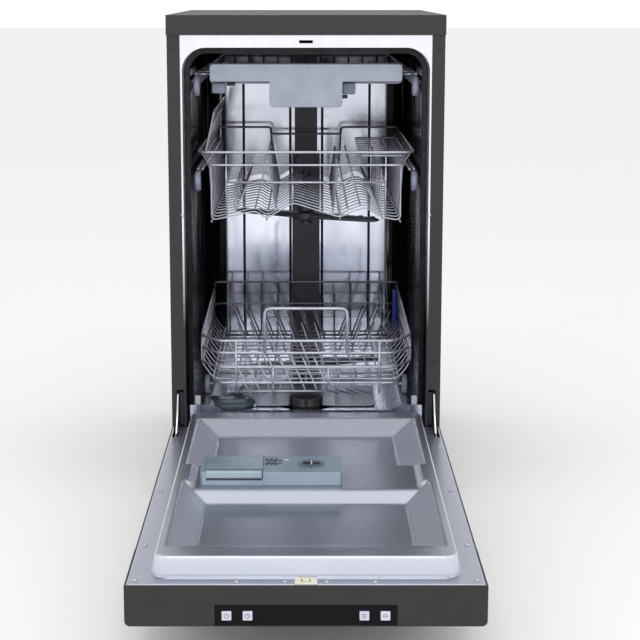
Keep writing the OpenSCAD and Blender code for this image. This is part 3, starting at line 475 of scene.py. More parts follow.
class DishwasherSizes(bpy.types.PropertyGroup):
    """Sizes of the finely shaped pieces and of the camera."""
    seal: bpy.props.FloatProperty(name="Seal", description="Half width of the door seal",
                                  default=5.2 * MM, unit="LENGTH")
    wheel: bpy.props.FloatProperty(name="Wheel width", description="Width of wheels and rollers",
                                   default=9 * MM, unit="LENGTH")
    arm_reach: bpy.props.FloatProperty(name="Spray arm", description="Reach of an arm from its hub",
                                       default=145 * MM, unit="LENGTH")
    shelf_wire: bpy.props.FloatProperty(name="Shelf wire", description="Radius of the shelves' frame",
                                        default=1.6 * MM, unit="LENGTH")
    lens: bpy.props.FloatProperty(name="Lens", description="Focal length in millimetres", default=82.5,
                                  unit="CAMERA")


MATERIALS = {}
PAINTED_SHADE_SIDE = 155 * MM         # half width past which the tub's steel is painted near-black, as the sides' painted reflection
PAINTED_SHADE_CEILING = 722 * MM      # height past which it is painted near-black, as the ceiling's painted shade
FLANGE_PAINTED_SHADE = 300 * MM      # the front flange is painted dark, as painted shade, up to here
FLANGE_LIGHT = 460 * MM     # and white, unshaded, from here
WIRE_LIGHT = 180 * MM       # the wires are light up to this depth behind the front
WIRE_DEEP = 460 * MM        # and darkest from this one

# key, material, colour, light flow marks, roughness
PLASTICS = [
    ("shade", "shaded_bead", "#1d1e24", "#25262d", 0.3),
    ("rail", "rail_polypropylene", "#7c8292", "#8b91a0", 0.34),
    ("track", "track_polypropylene", "#1c1d22", "#26282e", 0.4),
    ("dial", "dial_polypropylene", "#4e5c67", "#596873", 0.3),
    ("lid", "lid_polypropylene", "#6c7b89", "#768593", 0.28),
    # painted light: a lighter copy of the lid's plastic, for the lip's lit front
    ("lip", "lip_polypropylene_painted_light", "#9fafbc", "#a9b9c5", 0.26),
    ("cap", "salt_cap_polypropylene", "#38414a", "#48525c", 0.24),
    ("black", "black_polyamide", "#1a1a1e", "#232328", 0.4),
    ("cream", "cream_polyamide", "#d2cdb6", "#dedac6", 0.42),
    ("pale", "pale_polyamide", "#b9b9c3", "#cfcfd8", 0.3),
    ("roller", "roller_acetal", "#8489a0", "#979cae", 0.3),
    ("wheel", "wheel_acetal", "#6f7686", "#838a9a", 0.32),
    ("blue", "blue_polypropylene", "#2b3f9e", "#3650b8", 0.35),
    ("white", "white_polypropylene", "#e6e6e4", "#efefed", 0.45),
    ("button", "button_abs", "#c6c7d8", "#d6d7e4", 0.3),
    # print on the keys, and painted shade on the dispenser's gaps and vents
    ("ink_and_shade", "print_and_painted_shade", "#3a3c48", "#444652", 0.5),
]


def make_finishes():
    """Makes every finish once."""
    colours = bpy.context.scene.dishwasher_finishes
    made = MATERIALS
    made["body"] = powder_coated_steel("powder_coated_steel", colours.body)
    made["zinc"] = galvanised_steel("galvanised_steel")
    made["tub"] = bright_annealed_steel("bright_annealed_steel", colours.tub, colours.tub_side_painted_shade, PAINTED_SHADE_SIDE,
                                        PAINTED_SHADE_CEILING)
    made["floor"] = bright_steel("tub_floor_steel", "#e2e5f0", 0.2)
    made["flange"] = flange_steel("bright_flange_steel", "#eff0f8", "#3c3d44", FLANGE_PAINTED_SHADE, FLANGE_LIGHT)
    # painted light: the lighter colour goes on the liner's pressed slopes
    made["liner"] = brushed_stainless("brushed_stainless", colours.liner, "#ccd0dd")
    made["bright"] = bright_steel("bright_steel")
    made["wire"] = nylon_coated_wire("nylon_coated_wire", colours.wire, "#c2c4d0", "#2c2d34",
                                     FRONT + WIRE_LIGHT, FRONT + WIRE_DEEP)
    made["rubber"] = epdm_rubber("epdm_rubber")
    made["console"] = moulded_plastic("console_abs", colours.console, "#232322", 0.38, 1.0)
    # painted light: the dispenser's front face is painted lighter
    made["fitting"] = moulded_plastic("dispenser_polypropylene", colours.fittings, "#73828f", 0.3,
                                      front=(box("dispenser_body")[0][1], "#94a3b1", "#9dacb9"))
    made["tray"] = moulded_plastic("tray_polypropylene", colours.tray, "#a2a8b6", 0.36)
    made["dark"] = moulded_plastic("spray_arm_polypropylene", colours.dark, "#43464e", 0.34)
    for key, name, colour, light, roughness in PLASTICS:
        made[key] = moulded_plastic(name, colour, light, roughness)
    made["display"] = gloss_panel("smoked_acrylic")
    made["mesh"] = perforated_stainless("perforated_stainless")


# ---- cabinet ----

class DISHWASHER_OT_cabinet(bpy.types.Operator):
    """Powder-coated panels, cover, base, plugs, feet and the machinery below the tub."""
    bl_idname = "dishwasher.cabinet"
    bl_label = "Cabinet"

    def execute(self, context):
        m = MATERIALS
        paint(m["body"], "side_panel_left", "side_panel_right", "toe_panel")
        softened("top_cover", m["body"], 2.5 * MM, 3)
        paint(m["zinc"], "back_panel", "hinge_brackets")
        softened("base_tray", m["black"], 1.2 * MM)
        softened("frame_plugs", m["black"], 0.5 * MM)
        softened("feet", m["black"], 1.2 * MM)
        softened("hinge_covers", m["black"], 0.8 * MM)
        softened("softener", m["white"], 3 * MM)
        softened("circulation_pump", m["black"], 2 * MM)
        softened("drain_pump", m["black"], 2 * MM)
        softened("water_inlet", m["white"], 1 * MM)
        softened("drain_outlet", m["black"], 0.8 * MM)
        return {"FINISHED"}


# ---- tub ----

def seal():
    """Door seal: a rounded lip carried round the mouth. Its section is the curve |u|^4 + |v|^4 = 1, whose
    width swings by 0.9 + 0.08 cos 6t into soft ribs; its path is the doorway, rounded at the two top
    corners."""
    low, high = box("door_seal")
    depth = (high[1] - low[1]) / 2
    width = bpy.context.scene.dishwasher_sizes.seal
    half = high[0] - width
    top = high[2] - width
    corner = 33 * MM
    arc = np.linspace(0, math.pi / 2, 14)
    right = np.stack([half - corner + corner * np.sin(arc), top - corner + corner * np.cos(arc)], -1)
    line = np.concatenate([[[0, top]], right, [[half, low[2]]]])
    line = np.concatenate([line[::-1] * [-1, 1], line[1:]])
    path = np.stack([line[:, 0], np.full(len(line), (low[1] + high[1]) / 2), line[:, 1]], -1)
    side = unit(np.cross(unit(np.gradient(path, axis=0)), [0, 1, 0]))
    sides = 24
    t = np.linspace(0, 2 * math.pi, sides, endpoint=False)
    u = np.sign(np.cos(t)) * np.sqrt(np.abs(np.cos(t))) * (0.9 + 0.08 * np.cos(6 * t))
    v = np.sign(np.sin(t)) * np.sqrt(np.abs(np.sin(t)))
    points = path[:, None] + side[:, None] * (u * width)[None, :, None]
    points = points + np.array([0, 1, 0]) * (v * depth * 0.97)[None, :, None]
    faces = quads(len(path), sides, False, True).tolist()
    faces += [list(range(sides)), list(range((len(path) - 1) * sides, len(path) * sides))[::-1]]
    outward(put("door_seal_lip", points, faces, MATERIALS["rubber"], "cabinet", ("door_seal",),
                "seal_rubber"))


def beads():
    """Pressed beads on the tub's back wall: upright half-round ribs, 5 mm wide and 3 mm proud."""
    back = (box("tub_shell")[1][1] - FRONT) / MM - 2.4
    bars = []
    for x in (-123, -31, 32, 125):
        points, faces = swept(bent(at([[x, back + 1.5, 178], [x, back - 1, 190], [x, back - 1, 700],
                                       [x, back + 1.5, 712]]), 10 * MM), 2.6 * MM, 10)
        bars.append((points, faces))
    # painted reflection: the beads' near-black finish stands for the dark side walls reflected in the steel
    # ribs
    outward(put("back_wall_beads", *joined(bars), MATERIALS["shade"], "cabinet", slot="tub_steel"))


def wheel(radius, width, tread):
    """Profile of a moulded wheel across its width: a rounded tread between two dished sides and a hub."""
    w = width / 2
    return [(3.05, -w - 0.6), (5.5, -w - 0.6), (6.2, -w), (6.8, -w + 1.8), (radius * 0.62, -w + 1.8),
            (radius * 0.72, -w + 0.2), (radius - tread, -w), (radius - tread * 0.3, -w + tread * 0.4),
            (radius, -w + tread * 1.2), (radius, w - tread * 1.2),
            (radius - tread * 0.3, w - tread * 0.4), (radius - tread, w), (radius * 0.72, w - 0.2),
            (radius * 0.62, w - 1.8), (6.8, w - 1.8), (6.2, w), (5.5, w + 0.6), (3.05, w + 0.6)]


def wheels(node, name, material, tread, slot):
    """Turned wheels, one at each side, in the places of the node's own."""
    low, high = box(node)
    centre = (low + high) / 2
    radius = (high[2] - low[2]) / 2 / MM
    width = bpy.context.scene.dishwasher_sizes.wheel / MM
    parts = []
    for side in (-1, 1):
        place = (side * (high[0] - width / 2 * MM), centre[1], centre[2])
        parts.append(turned(np.array(wheel(radius, width, tread)) * MM, place, 40, "x", closed=True))
    outward(put(name, *joined(parts), material, BODY_OF[node], (node,), slot))


def salt_cap():
    """Salt cap: rings at growing heights whose radius swings between three lobes,
    r(t) = R (1 + a cos 3(t - 90 deg)) / (1 + 0.9 a), closed by a flat middle that sinks between them. Each
    ring gives its share of R, its height in millimetres and a."""
    low, high = box("salt_cap")
    centre = (low + high) / 2
    radius = (high[0] - low[0]) / 2
    base = high[2] - 15 * MM
    t = np.linspace(0, 2 * math.pi, 96, endpoint=False)
    rings = [(0.70, -5, 0.0), (0.70, 2.4, 0.0), (0.985, 2.6, 0.0), (1.0, 3.5, 0.0), (1.0, 7, 0.0),
             (0.985, 8.6, 0.0), (0.95, 9.9, 0.02), (0.88, 10.1, 0.1), (0.85, 11, 0.15), (0.84, 13.6, 0.16),
             (0.81, 14.8, 0.16), (0.76, 15.0, 0.15), (0.62, 14.6, 0.13), (0.42, 12.6, 0.1),
             (0.2, 11.6, 0.03)]
    points = []
    for share, height, lobe in rings:
        r = radius * share * (1 + lobe * np.cos(3 * (t - math.pi / 2))) / (1 + lobe * 0.9)
        points.append(np.stack([centre[0] + r * np.cos(t), centre[1] + r * np.sin(t),
                                np.full(len(t), base + height * MM)], -1))
    faces = quads(len(rings), len(t), False, True).tolist()
    faces += [list(range(len(t)))[::-1], list(range((len(rings) - 1) * len(t), len(rings) * len(t)))]
    outward(put("salt_cap_knob", np.array(points), faces, MATERIALS["cap"], "salt_cap", ("salt_cap",),
                "salt_cap_plastic"))


def arm_blade(node, name, turn):
    """Spray arm: a flat aerofoil. At the share u of its length it is 20 - 8|u| mm wide and 5.4 - 1.35|u| mm
    thick to each side, both drawn in at the tips by sqrt(1 - u^14); its section is the curve
    (w |cos v|^0.8, h |sin v|^0.7). A hub and seven nozzles stand on it."""
    low, high = box(node)
    centre = (low + high) / 2
    reach = bpy.context.scene.dishwasher_sizes.arm_reach
    steps, sides = 49, 28
    u = np.sin(np.linspace(-math.pi / 2, math.pi / 2, steps))[:, None]
    v = np.linspace(0, 2 * math.pi, sides, endpoint=False)[None, :]
    tip = np.sqrt(np.clip(1 - np.abs(u) ** 14, 0.0004, 1))
    wide = (20 - 8 * np.abs(u)) * MM * tip
    tall = 5.4 * MM * (1 - 0.25 * np.abs(u)) * tip
    local = np.stack([reach * u + 0 * v, wide * np.sign(np.cos(v)) * np.abs(np.cos(v)) ** 0.8,
                      tall * np.sign(np.sin(v)) * np.abs(np.sin(v)) ** 0.7], -1).reshape(-1, 3)
    faces = quads(steps, sides, False, True).tolist()
    faces += [list(range(sides)), list(range((steps - 1) * sides, steps * sides))[::-1]]
    hub_centre = np.array([centre[0], centre[1], low[2] + 5.6 * MM])
    spin = np.array([[math.cos(turn), math.sin(turn), 0], [-math.sin(turn), math.cos(turn), 0], [0, 0, 1]])
    parts = [(local @ spin + hub_centre, faces)]
    hub = np.array([(8.2, -5), (23, -5), (24, -3), (24, 5.5), (22.5, 6.4), (12, 6.4), (8.2, 6.4)]) * MM
    parts.append(turned(hub, hub_centre, 48, "z", closed=True))
    nozzle = np.array([(5.2, 0), (5.0, 5.2), (3.4, 6.4), (1.6, 6.4), (1.4, 5.6)]) * MM
    for share in (-0.88, -0.66, -0.42, 0.3, 0.52, 0.74, 0.9):
        place = np.array([reach * share, (3 if share > 0 else -3) * MM, 0]) @ spin + hub_centre
        parts.append(turned(nozzle * [1, 0.9], place, 20))
    outward(put(name, *joined(parts), MATERIALS["dark"], BODY_OF[node], (node,), "arm_plastic"))


class DISHWASHER_OT_tub(bpy.types.Operator):
    """Bright tub, its beads, flange, seals, duct, rails, rollers, filter, salt cap and lower spray arm."""
    bl_idname = "dishwasher.tub"
    bl_label = "Tub"

    def execute(self, context):
        m = MATERIALS
        paint(m["tub"], "tub_shell")
        paint(m["floor"], "tub_floor")
        paint(m["flange"], "front_flange")
        paint(m["flange"], "door_strike")
        paint(m["rubber"], "lower_seal")
        seal()
        beads()
        softened("seal_ends", m["pale"], 1.5 * MM, 3)
        softened("water_duct", m["dark"], 3 * MM, 3)
        softened("rack_rails", m["track"], 1 * MM)
        softened("sump", m["black"], 1 * MM)
        softened("filter_cup", m["black"], 0.8 * MM)
        paint(m["mesh"], "filter_plate")
        wheels("tray_rollers", "tray_roller_pair", m["roller"], 2, "roller_plastic")
        wheels("basket_rollers", "basket_roller_pair", m["roller"], 2, "roller_plastic")
        salt_cap()
        arm_blade("lower_spray_arm", "lower_spray_blade", math.radians(15))
        mouth = (box("door_seal")[1][0] + 0.5 * MM) / MM
        screws = [turned(np.array([(0.1, 1.4), (1.8, 1.2), (2.8, 0.5), (3.0, -0.1)]) * [MM, -MM],
                         at([side * (mouth + 1.8), 0, 491]), 20, "y") for side in (-1, 1)]
        outward(put("flange_screws", *joined(screws), m["bright"], "cabinet", slot="screw_steel"))
        return {"FINISHED"}


# ---- baskets ----

def hoops(levels, radius, bend, rise=0):
    """Horizontal wires round the front and sides. Each level gives its height, the half widths of its front
    and sides and the places of its front, its front corners and its back, where the wire may have risen."""
    paths = []
    for z, front, side, y0, yc, y1 in levels:
        right = [[front, y0, z], [side, yc, z], [side, y1 - 150, z + rise * 0.45],
                 [side - 1, y1 - 2, z + rise]]
        left = [[-x, y, h] for x, y, h in right[::-1]]
        paths.append((left + right, radius, bend, False))
    return paths


def upper_basket():
    """Wires of the upper basket: a flared rim, cross wires that run down one side, over the waves of the
    floor and up the other, long wires under them, and rows of tines shaped as V's and upturned V's."""
    low, high = box("upper_walls")
    y0, y1 = (low[1] - FRONT) / MM, (high[1] - FRONT) / MM
    floor = [(-158, 474), (-118, 483), (-84, 490), (-66, 477), (-22, 504), (57, 479), (82, 491),
             (100, 496), (128, 479), (158, 474)]
    rim = 588.5
    paths = hoops([(rim, 170, 180, y0 + 2, y0 + 12, y1 - 8)], 2.2, 9)
    paths += hoops([(567, 158, 166, y0 + 2, y0 + 10, y1 - 8)], 1.8, 7)
    paths.append(([[-180, y1 - 12, rim], [-176, y1 - 2, rim + 3], [-68, y1 - 2, rim + 3],
                   [-68, y1 - 2, rim - 10], [68, y1 - 2, rim - 10], [68, y1 - 2, rim + 3],
                   [176, y1 - 2, rim + 3], [180, y1 - 12, rim]], 2.2, 6, False))
    paths.append(([[-133, y0 + 2, 538], [133, y0 + 2, 538]], 1.8, 4, False))
    rows = np.linspace(y0 + 3, y1 - 4, 13)
    for y in rows:
        section = [(-179, rim - 1), (-163, 565), *floor, (163, 565), (179, rim - 1)]
        if y < y0 + 6:
            section = [(-158, 567), *floor, (158, 567)]
        paths.append(([[x, y, z] for x, z in section], 1.25, 9, False))
    for x, z in ((-158, 474), (-66, 477), (-22, 504), (57, 479), (128, 479), (158, 474)):
        paths.append(([[x, y0 + 3, z - 2.6], [x, y1 - 4, z - 2.6]], 1.5, 4, False))
    for x in (-133, -22, 57, 133):
        z = np.interp(x, [p[0] for p in floor], [p[1] for p in floor])
        paths.append(([[x, y0 + 4.5, z], [x, y0 + 4.5, rim if abs(x) == 133 else 540]], 1.5, 4, False))
    for x in (-68, 68, -176, 176):
        foot = [x * 0.9, y1 - 3, 500 if abs(x) < 100 else 490]
        paths.append(([[x, y1 - 3, rim + 2], [x * 0.97, y1 - 3, 545], foot], 1.6, 8, False))
    for y in rows[1:-1:2]:
        paths.append(([[-122, y, 525], [-119, y, 484], [-101, y, 526]], 1.35, 4, False))
        paths.append(([[-86, y, 489], [-66, y, 574], [-50, y, 489]], 1.35, 6, False))
        paths.append(([[45, y, 483], [55, y, 560], [71, y, 488]], 1.35, 5, False))
        paths.append(([[74, y, 560], [92, y, 494]], 1.35, 5, False))
        paths.append(([[103, y, 523], [126, y, 482], [128, y, 556]], 1.35, 4, False))
    for side in (-1, 1):
        for x in (173.5, 181):
            paths.append(([[side * x, y0 + 14, 558.6], [side * x, y1 - 12, 558.6]], 2.2, 4, False))
    wires("upper_basket_wires", paths, MATERIALS["wire"], "upper_basket", ("upper_floor", "upper_walls"))


def cup_shelf(node, name):
    """Cup shelf: a round-cornered frame filled with parallel wires, in the plane of the node's own."""
    low, high = box(node)
    size = high - low
    middle = (low[0] + high[0]) / 2
    inner_high = size[2] > size[0]
    sign = -1 if middle < 0 else 1
    wire = bpy.context.scene.dishwasher_sizes.shelf_wire
    hinge = np.array([sign * (max(abs(low[0]), abs(high[0])) - wire), low[2] + wire])
    edge_height = high[2] - wire if inner_high else low[2] + wire
    edge = np.array([sign * (min(abs(low[0]), abs(high[0])) + wire), edge_height])
    y0, y1 = low[1], high[1]
    rail = [np.array([p[0], y, p[1]]) for p, y in ((hinge, y0), (edge, y0), (edge, y1), (hinge, y1))]
    bars = [swept(bent(rail, 10 * MM, True), wire, 8, True)]
    for y in np.linspace(y0, y1, 10)[1:-1]:
        bars.append(swept([[hinge[0], y, hinge[1]], [edge[0], y, edge[1]]], 1.1 * MM))
    for share in (0.35, 0.7):
        p = hinge + (edge - hinge) * share
        bars.append(swept([[p[0], y0, p[1]], [p[0], y1, p[1]]], 1.3 * MM))
    outward(put(name, *joined(bars), MATERIALS["wire"], BODY_OF[node], (node,), "coated_wire"))


def lower_basket():
    """Wires of the lower basket: chamfered hoops, cross wires round the sides and floor, long wires, a
    handle and leaning plate tines on bars, and the folding row of tines."""
    low, high = box("lower_walls")
    y0, y1 = (low[1] - FRONT) / MM, (high[1] - FRONT) / MM
    front, back = y0 + 2.2, y1 - 2.2
    corner, end = front + 42, back - 16
    paths = hoops([(267, 148, 179.5, front, corner, end)], 2.4, 13, 17)
    paths += hoops([(z, 148, 179.5, front, corner, end) for z in (246, 221)], 2.4, 13)
    paths += hoops([(194, 148, 160, front, front + 22, back - 4)], 2.0, 8)
    paths.append(([[-179.5, back - 18, 284], [-179, back - 1, 285.5], [179, back - 1, 285.5],
                   [179.5, back - 18, 284]], 2.2, 12, False))
    paths.append(([[-179, end, 244], [-166, back, 242], [166, back, 242], [179, end, 244]], 1.8, 8, False))
    for y in np.linspace(front + 44, back - 14, 13):
        section = [(-179.5, 269), (-181, 219), (-159, 189), (159, 189), (181, 219), (179.5, 269)]
        paths.append(([[x, y, z] for x, z in section], 1.6, 12, False))
    for x in (-150, -119, -88, -56, -28, 0, 28, 56, 88, 125, 150):
        rear = 284 if abs(x) > 60 else 262
        paths.append(([[x, front + 3, 193], [x, front + 12, 187], [x, back - 8, 187], [x, back, 200],
                       [x, back, rear]], 1.7, 12, False))
    for x in (-119, 125):
        paths.append(([[x, front - 0.5, 268], [x, front - 0.5, 176]], 2.4, 4, False))
    for x in (-56, 38):
        paths.append(([[x, front - 0.5, 223], [x, front - 0.5, 178]], 2.4, 4, False))
    paths.append(([[-112, front, 179], [30, front, 179]], 1.9, 4, False))
    paths.append(([[-70, front - 1, 246], [-70, front - 1, 323.4], [70, front - 1, 323.4],
                   [70, front - 1, 246]], 2.6, 11, False))
    for x in np.arange(-104, 40, 19.6):
        paths.append(([[x + 6, front + 2, 178], [x - 2, front + 3, 197], [x - 22, front + 5, 243]], 1.7, 8,
                      False))
    for y in (125, 360, 410):
        paths.append(([[-154, y, 191.5], [154, y, 191.5]], 1.7, 4, False))
        for x in np.linspace(-112, 138, 11):
            lean = -24 if x < 40 or y < 200 else 22
            paths.append(([[x, y, 191], [x + lean * 0.25, y, 205], [x + lean, y, 251]], 1.7, 8, False))
    for side in (-1, 1):
        for y in (100, 430):
            paths.append(([[side * 158, y - 9, 190], [side * 158.5, y - 5, 179.5],
                           [side * 158.5, y + 5, 179.5], [side * 158, y + 9, 190]], 2.2, 5, False))
            paths.append(([[side * 157, y, 179.5], [side * 174, y, 179.5]], 2.9, 4, False))
    wires("lower_basket_wires", paths, MATERIALS["wire"], "lower_basket",
          ("lower_floor", "lower_walls", "fixed_tines"))
    pivot, row = 194, 250
    fold = [([[-127, row, pivot], [127, row, pivot]], 1.6, 4, False)]
    for x in np.linspace(-105, 105, 10):
        lean = -20 if x < 40 else 20
        tine = [[x, row, pivot], [x + lean * 0.25, row, pivot + 14], [x + lean, row, pivot + 60]]
        fold.append((tine, 1.6, 8, False))
    wires("folding_tines", fold, MATERIALS["wire"], "lower_tines", ("lower_tines",))


def clip(name, low, high, material, body, bevel, slot):
    """Small moulded block between two corners in millimetres, its edges rounded."""
    a, b = at(low), at(high)
    corners = [[x, y, z] for x in (a[0], b[0]) for y in (a[1], b[1]) for z in (a[2], b[2])]
    faces = [(0, 1, 3, 2), (4, 6, 7, 5), (0, 4, 5, 1), (2, 3, 7, 6), (0, 2, 6, 4), (1, 5, 7, 3)]
    piece = put(name, corners, faces, material, body, (), slot)
    edge = piece.modifiers.new("rounded edges", "BEVEL")
    edge.width = bevel * MM
    edge.segments = 3
    return outward(piece)


def cutlery_tray():
    """Wires of the cutlery tray: a rim, U-shaped cross wires, long wires and the bars that ride on the
    rollers, with two clips and two sliders on its front."""
    low, high = box("tray_floor")
    y0, y1 = (low[1] - FRONT) / MM, (high[1] - FRONT) / MM
    z0, z1 = low[2] / MM + 1.6, box("tray_sides")[1][2] / MM - 1.6
    half = -low[0] / MM - 1.6
    bar_x, bar_z = 182, 717.6       # the bars that ride on the rollers
    rim = [[-half, y0 + 1.6, z1], [half, y0 + 1.6, z1], [half, y1 - 1.6, z1], [-half, y1 - 1.6, z1]]
    paths = [(rim, 2.0, 10, True)]
    for y in np.linspace(y0 + 2, y1 - 2, 15):
        paths.append(([[-half, y, z1], [-half, y, z0], [half, y, z0], [half, y, z1]], 1.5, 8, False))
    for x in np.linspace(-half + 22, half - 22, 11):
        paths.append(([[x, y0 + 1.6, z1 - 14], [x, y0 + 1.6, z0 + 2.4], [x, y1 - 1.6, z0 + 2.4],
                       [x, y1 - 1.6, z1 - 2]], 1.5, 8, False))
    for side in (-1, 1):
        for x in (half, bar_x):
            paths.append(([[side * x, y0 - 6, bar_z], [side * x, y1 - 12, bar_z]], 2.3, 4, False))
        for y in np.linspace(y0 - 4, y1 - 14, 6):
            paths.append(([[side * half, y, bar_z], [side * bar_x, y, bar_z]], 1.5, 4, False))
    wires("cutlery_tray_wires", paths, MATERIALS["wire"], "cutlery_tray", ("tray_floor", "tray_sides"))
    m = MATERIALS
    holders = [("tray_clip_left", (-131, y0 - 3, 698), (-117, y0 + 4, 706), m["black"], 1.2, "latch_plastic"),
               ("tray_clip_right", (57, y0 - 3, 677), (69, y0 + 4, 683), m["black"], 1.2, "latch_plastic"),
               ("tray_slider_left", (-156, y0 - 2, 685), (-133, y0 + 5, 704), m["rail"], 4, "tray_plastic"),
               ("tray_slider_right", (60, y0 - 1, 683.5), (82, y0 + 5, 704), m["rail"], 3, "tray_plastic")]
    for name, a, b, material, bevel, slot in holders:
        clip(name, a, b, material, "cutlery_tray", bevel, slot)


class DISHWASHER_OT_racks(bpy.types.Operator):
    """Upper and lower basket, cutlery tray, cup shelves, their wheels and the upper spray arm."""
    bl_idname = "dishwasher.racks"
    bl_label = "Racks"

    def execute(self, context):
        m = MATERIALS
        upper_basket()
        lower_basket()
        cutlery_tray()
        cup_shelf("cup_shelf_left", "left_cup_shelf")
        cup_shelf("cup_shelf_right", "right_cup_shelf")
        wheels("wheels_front", "front_wheel_pair", m["wheel"], 1.5, "wheel_plastic")
        wheels("wheels_rear", "rear_wheel_pair", m["wheel"], 1.5, "wheel_plastic")
        softened("tray_handle", m["tray"], 2 * MM, 3)
        softened("feed_pipe", m["dark"], 1.2 * MM)
        arm_blade("upper_spray_arm", "upper_spray_blade", math.radians(-26))
        clip("basket_stop", (168.5, 424, 196), (177.5, 438, 277), m["blue"], "lower_basket", 2.5,
             "wheel_plastic")
        return {"FINISHED"}


# ---- door ----

def smooth_min(a, b, k):
    """Lower of two values, blended over a band k wide."""
    h = np.clip(0.5 + 0.5 * (b - a) / k, 0, 1)
    return b + (a - b) * h - k * h * (1 - h)


def inset(x, y, half, y0, y1, r):
    """Distance from the edge of a round-cornered rectangle, counted inwards."""
    qx = np.abs(x) - (half - r)
    qy = np.abs(y - (y0 + y1) / 2) - ((y1 - y0) / 2 - r)
    outside = np.hypot(np.maximum(qx, 0), np.maximum(qy, 0))
    return r - outside - np.minimum(np.maximum(qx, qy), 0)


def liner_height(x, y, length):
    """Height of the liner over the door. The flange is at 133. A rim climbs 27 mm over 6.5 mm of inset, by
    the blend 0.35 t + 0.65 (3t^2 - 2t^3). There are two basins under a top at 160, each
    161 - min(side slope, end slopes) and not below 140. A plateau at 152 lies between them and climbs
    12 mm at the sides. All are lower values blended over 1.2 to 2 mm."""
    middle = -0.472 * length
    front = -length + 29
    t = np.clip(inset(x, y, 195.5, front - 5.5, -3.5, 22) / 6.5, 0, 1)
    rim = 133 + 27 * (0.35 * t + 0.65 * (3 * t ** 2 - 2 * t ** 3))
    side = (180 - np.abs(x)) * 21 / 38
    end = 50 * 9 / 21
    level = np.full(np.shape(x + y), 160.0)
    for y0, y1 in ((front + 32, middle - 54 + end), (middle + 54 - end, -38)):
        ends = smooth_min((y1 - y) * 21 / 50, (y - y0) * 21 / 50, 2)
        basin = -smooth_min(-(161 - smooth_min(side, ends, 1.5)), -140.0, 1.2)
        level = smooth_min(level, basin, 1.5)
    step = np.clip((np.abs(x) - 162) / 7, 0, 1)
    plateau = 152 + 12 * (3 * step ** 2 - 2 * step ** 3)
    plateau = np.where(np.abs(y - middle) < 60, plateau, 200)
    return smooth_min(rim, smooth_min(level, plateau, 2), 1.5)


def grid_lines(stops):
    """Grid positions from (start, end, spacing) runs."""
    runs = [np.linspace(a, b, max(2, int(round(abs(b - a) / step)) + 1))[:-1] for a, b, step in stops]
    return np.concatenate([*runs, [stops[-1][1]]])


def door_liner():
    """Door liner: the surface z = liner_height(x, y) on a grid that is finest over the rim, with its edge
    turned down and notches for the hinge arms and the latch. Its `slope` attribute, the share of painted
    light on the slopes, is 2.2 times the rise towards the cabinet or 0.9 times the rise across, and 0 on the
    flange."""
    low, high = box("door_liner")
    length = -(box("console")[0][1] - FRONT) / MM
    half = high[0] / MM
    y_end, y_start = (low[1] - FRONT) / MM, (high[1] - FRONT) / MM
    xs = grid_lines([(-half, -219.5, 2), (-219.5, -210.5, 9), (-210.5, -197, 3), (-197, -170, 1.1),
                     (-170, -132, 2.4), (-132, -14.1, 6), (-14.1, 14.1, 5), (14.1, 132, 6), (132, 170, 2.4),
                     (170, 197, 1.1), (197, 210.5, 3), (210.5, 219.5, 9), (219.5, half, 2)])
    latch = (box("door_latch")[1][1] - FRONT) / MM + 0.1
    ys = grid_lines([(y_end, latch, 5), (latch, latch + 9, 0.8), (latch + 9, latch + 30, 1.6),
                     (latch + 30, -400, 4), (-400, -220, 1.8), (-220, -62, 4), (-62, -30, 1.8),
                     (-30, -10, 1.2), (-10, y_start, 0.6)])
    gx, gy = np.meshgrid(xs, ys)
    gz = liner_height(gx, gy, length)
    points = np.stack([gx, gy, gz], -1)
    turned_down = np.array([0, 0, 1.2])
    points = np.concatenate([points[:1] - turned_down, points, points[-1:] - turned_down])
    points = np.concatenate([points[:, :1] - turned_down, points, points[:, -1:] - turned_down], 1)
    rows, columns = points.shape[:2]
    faces = quads(rows, columns)
    centre = points.reshape(-1, 3)[faces].mean(1)
    x, y = np.abs(centre[:, 0]), centre[:, 1]
    arms = (x > 210.5) & (x < 219.5) & (y > -62)
    lock = (x < 14.1) & (y < latch)
    faces = faces[~(arms | lock)]
    piece = put("door_liner_sheet", at(points.reshape(-1, 3)), faces.tolist(), MATERIALS["liner"], "door",
                ("door_liner",), "liner_steel")
    down, across = np.gradient(points[..., 2], axis=0), np.gradient(points[..., 2], axis=1)
    down = down / np.maximum(np.abs(np.gradient(points[..., 1], axis=0)), 0.1)
    across = across / np.maximum(np.abs(np.gradient(points[..., 0], axis=1)), 0.1)
    # painted light: how much lighter each point of a slope is painted
    slope = np.clip(np.maximum(np.maximum(down, 0) * 2.2, np.abs(across) * 0.9), 0, 1)
    slope = np.where(points[..., 2] < 136, 0.0, slope)
    piece.data.attributes.new("slope", "FLOAT", "POINT").data.foreach_set("value", slope.reshape(-1))
    if piece.data.polygons[len(faces) // 2].normal.z < 0:
        piece.data.flip_normals()


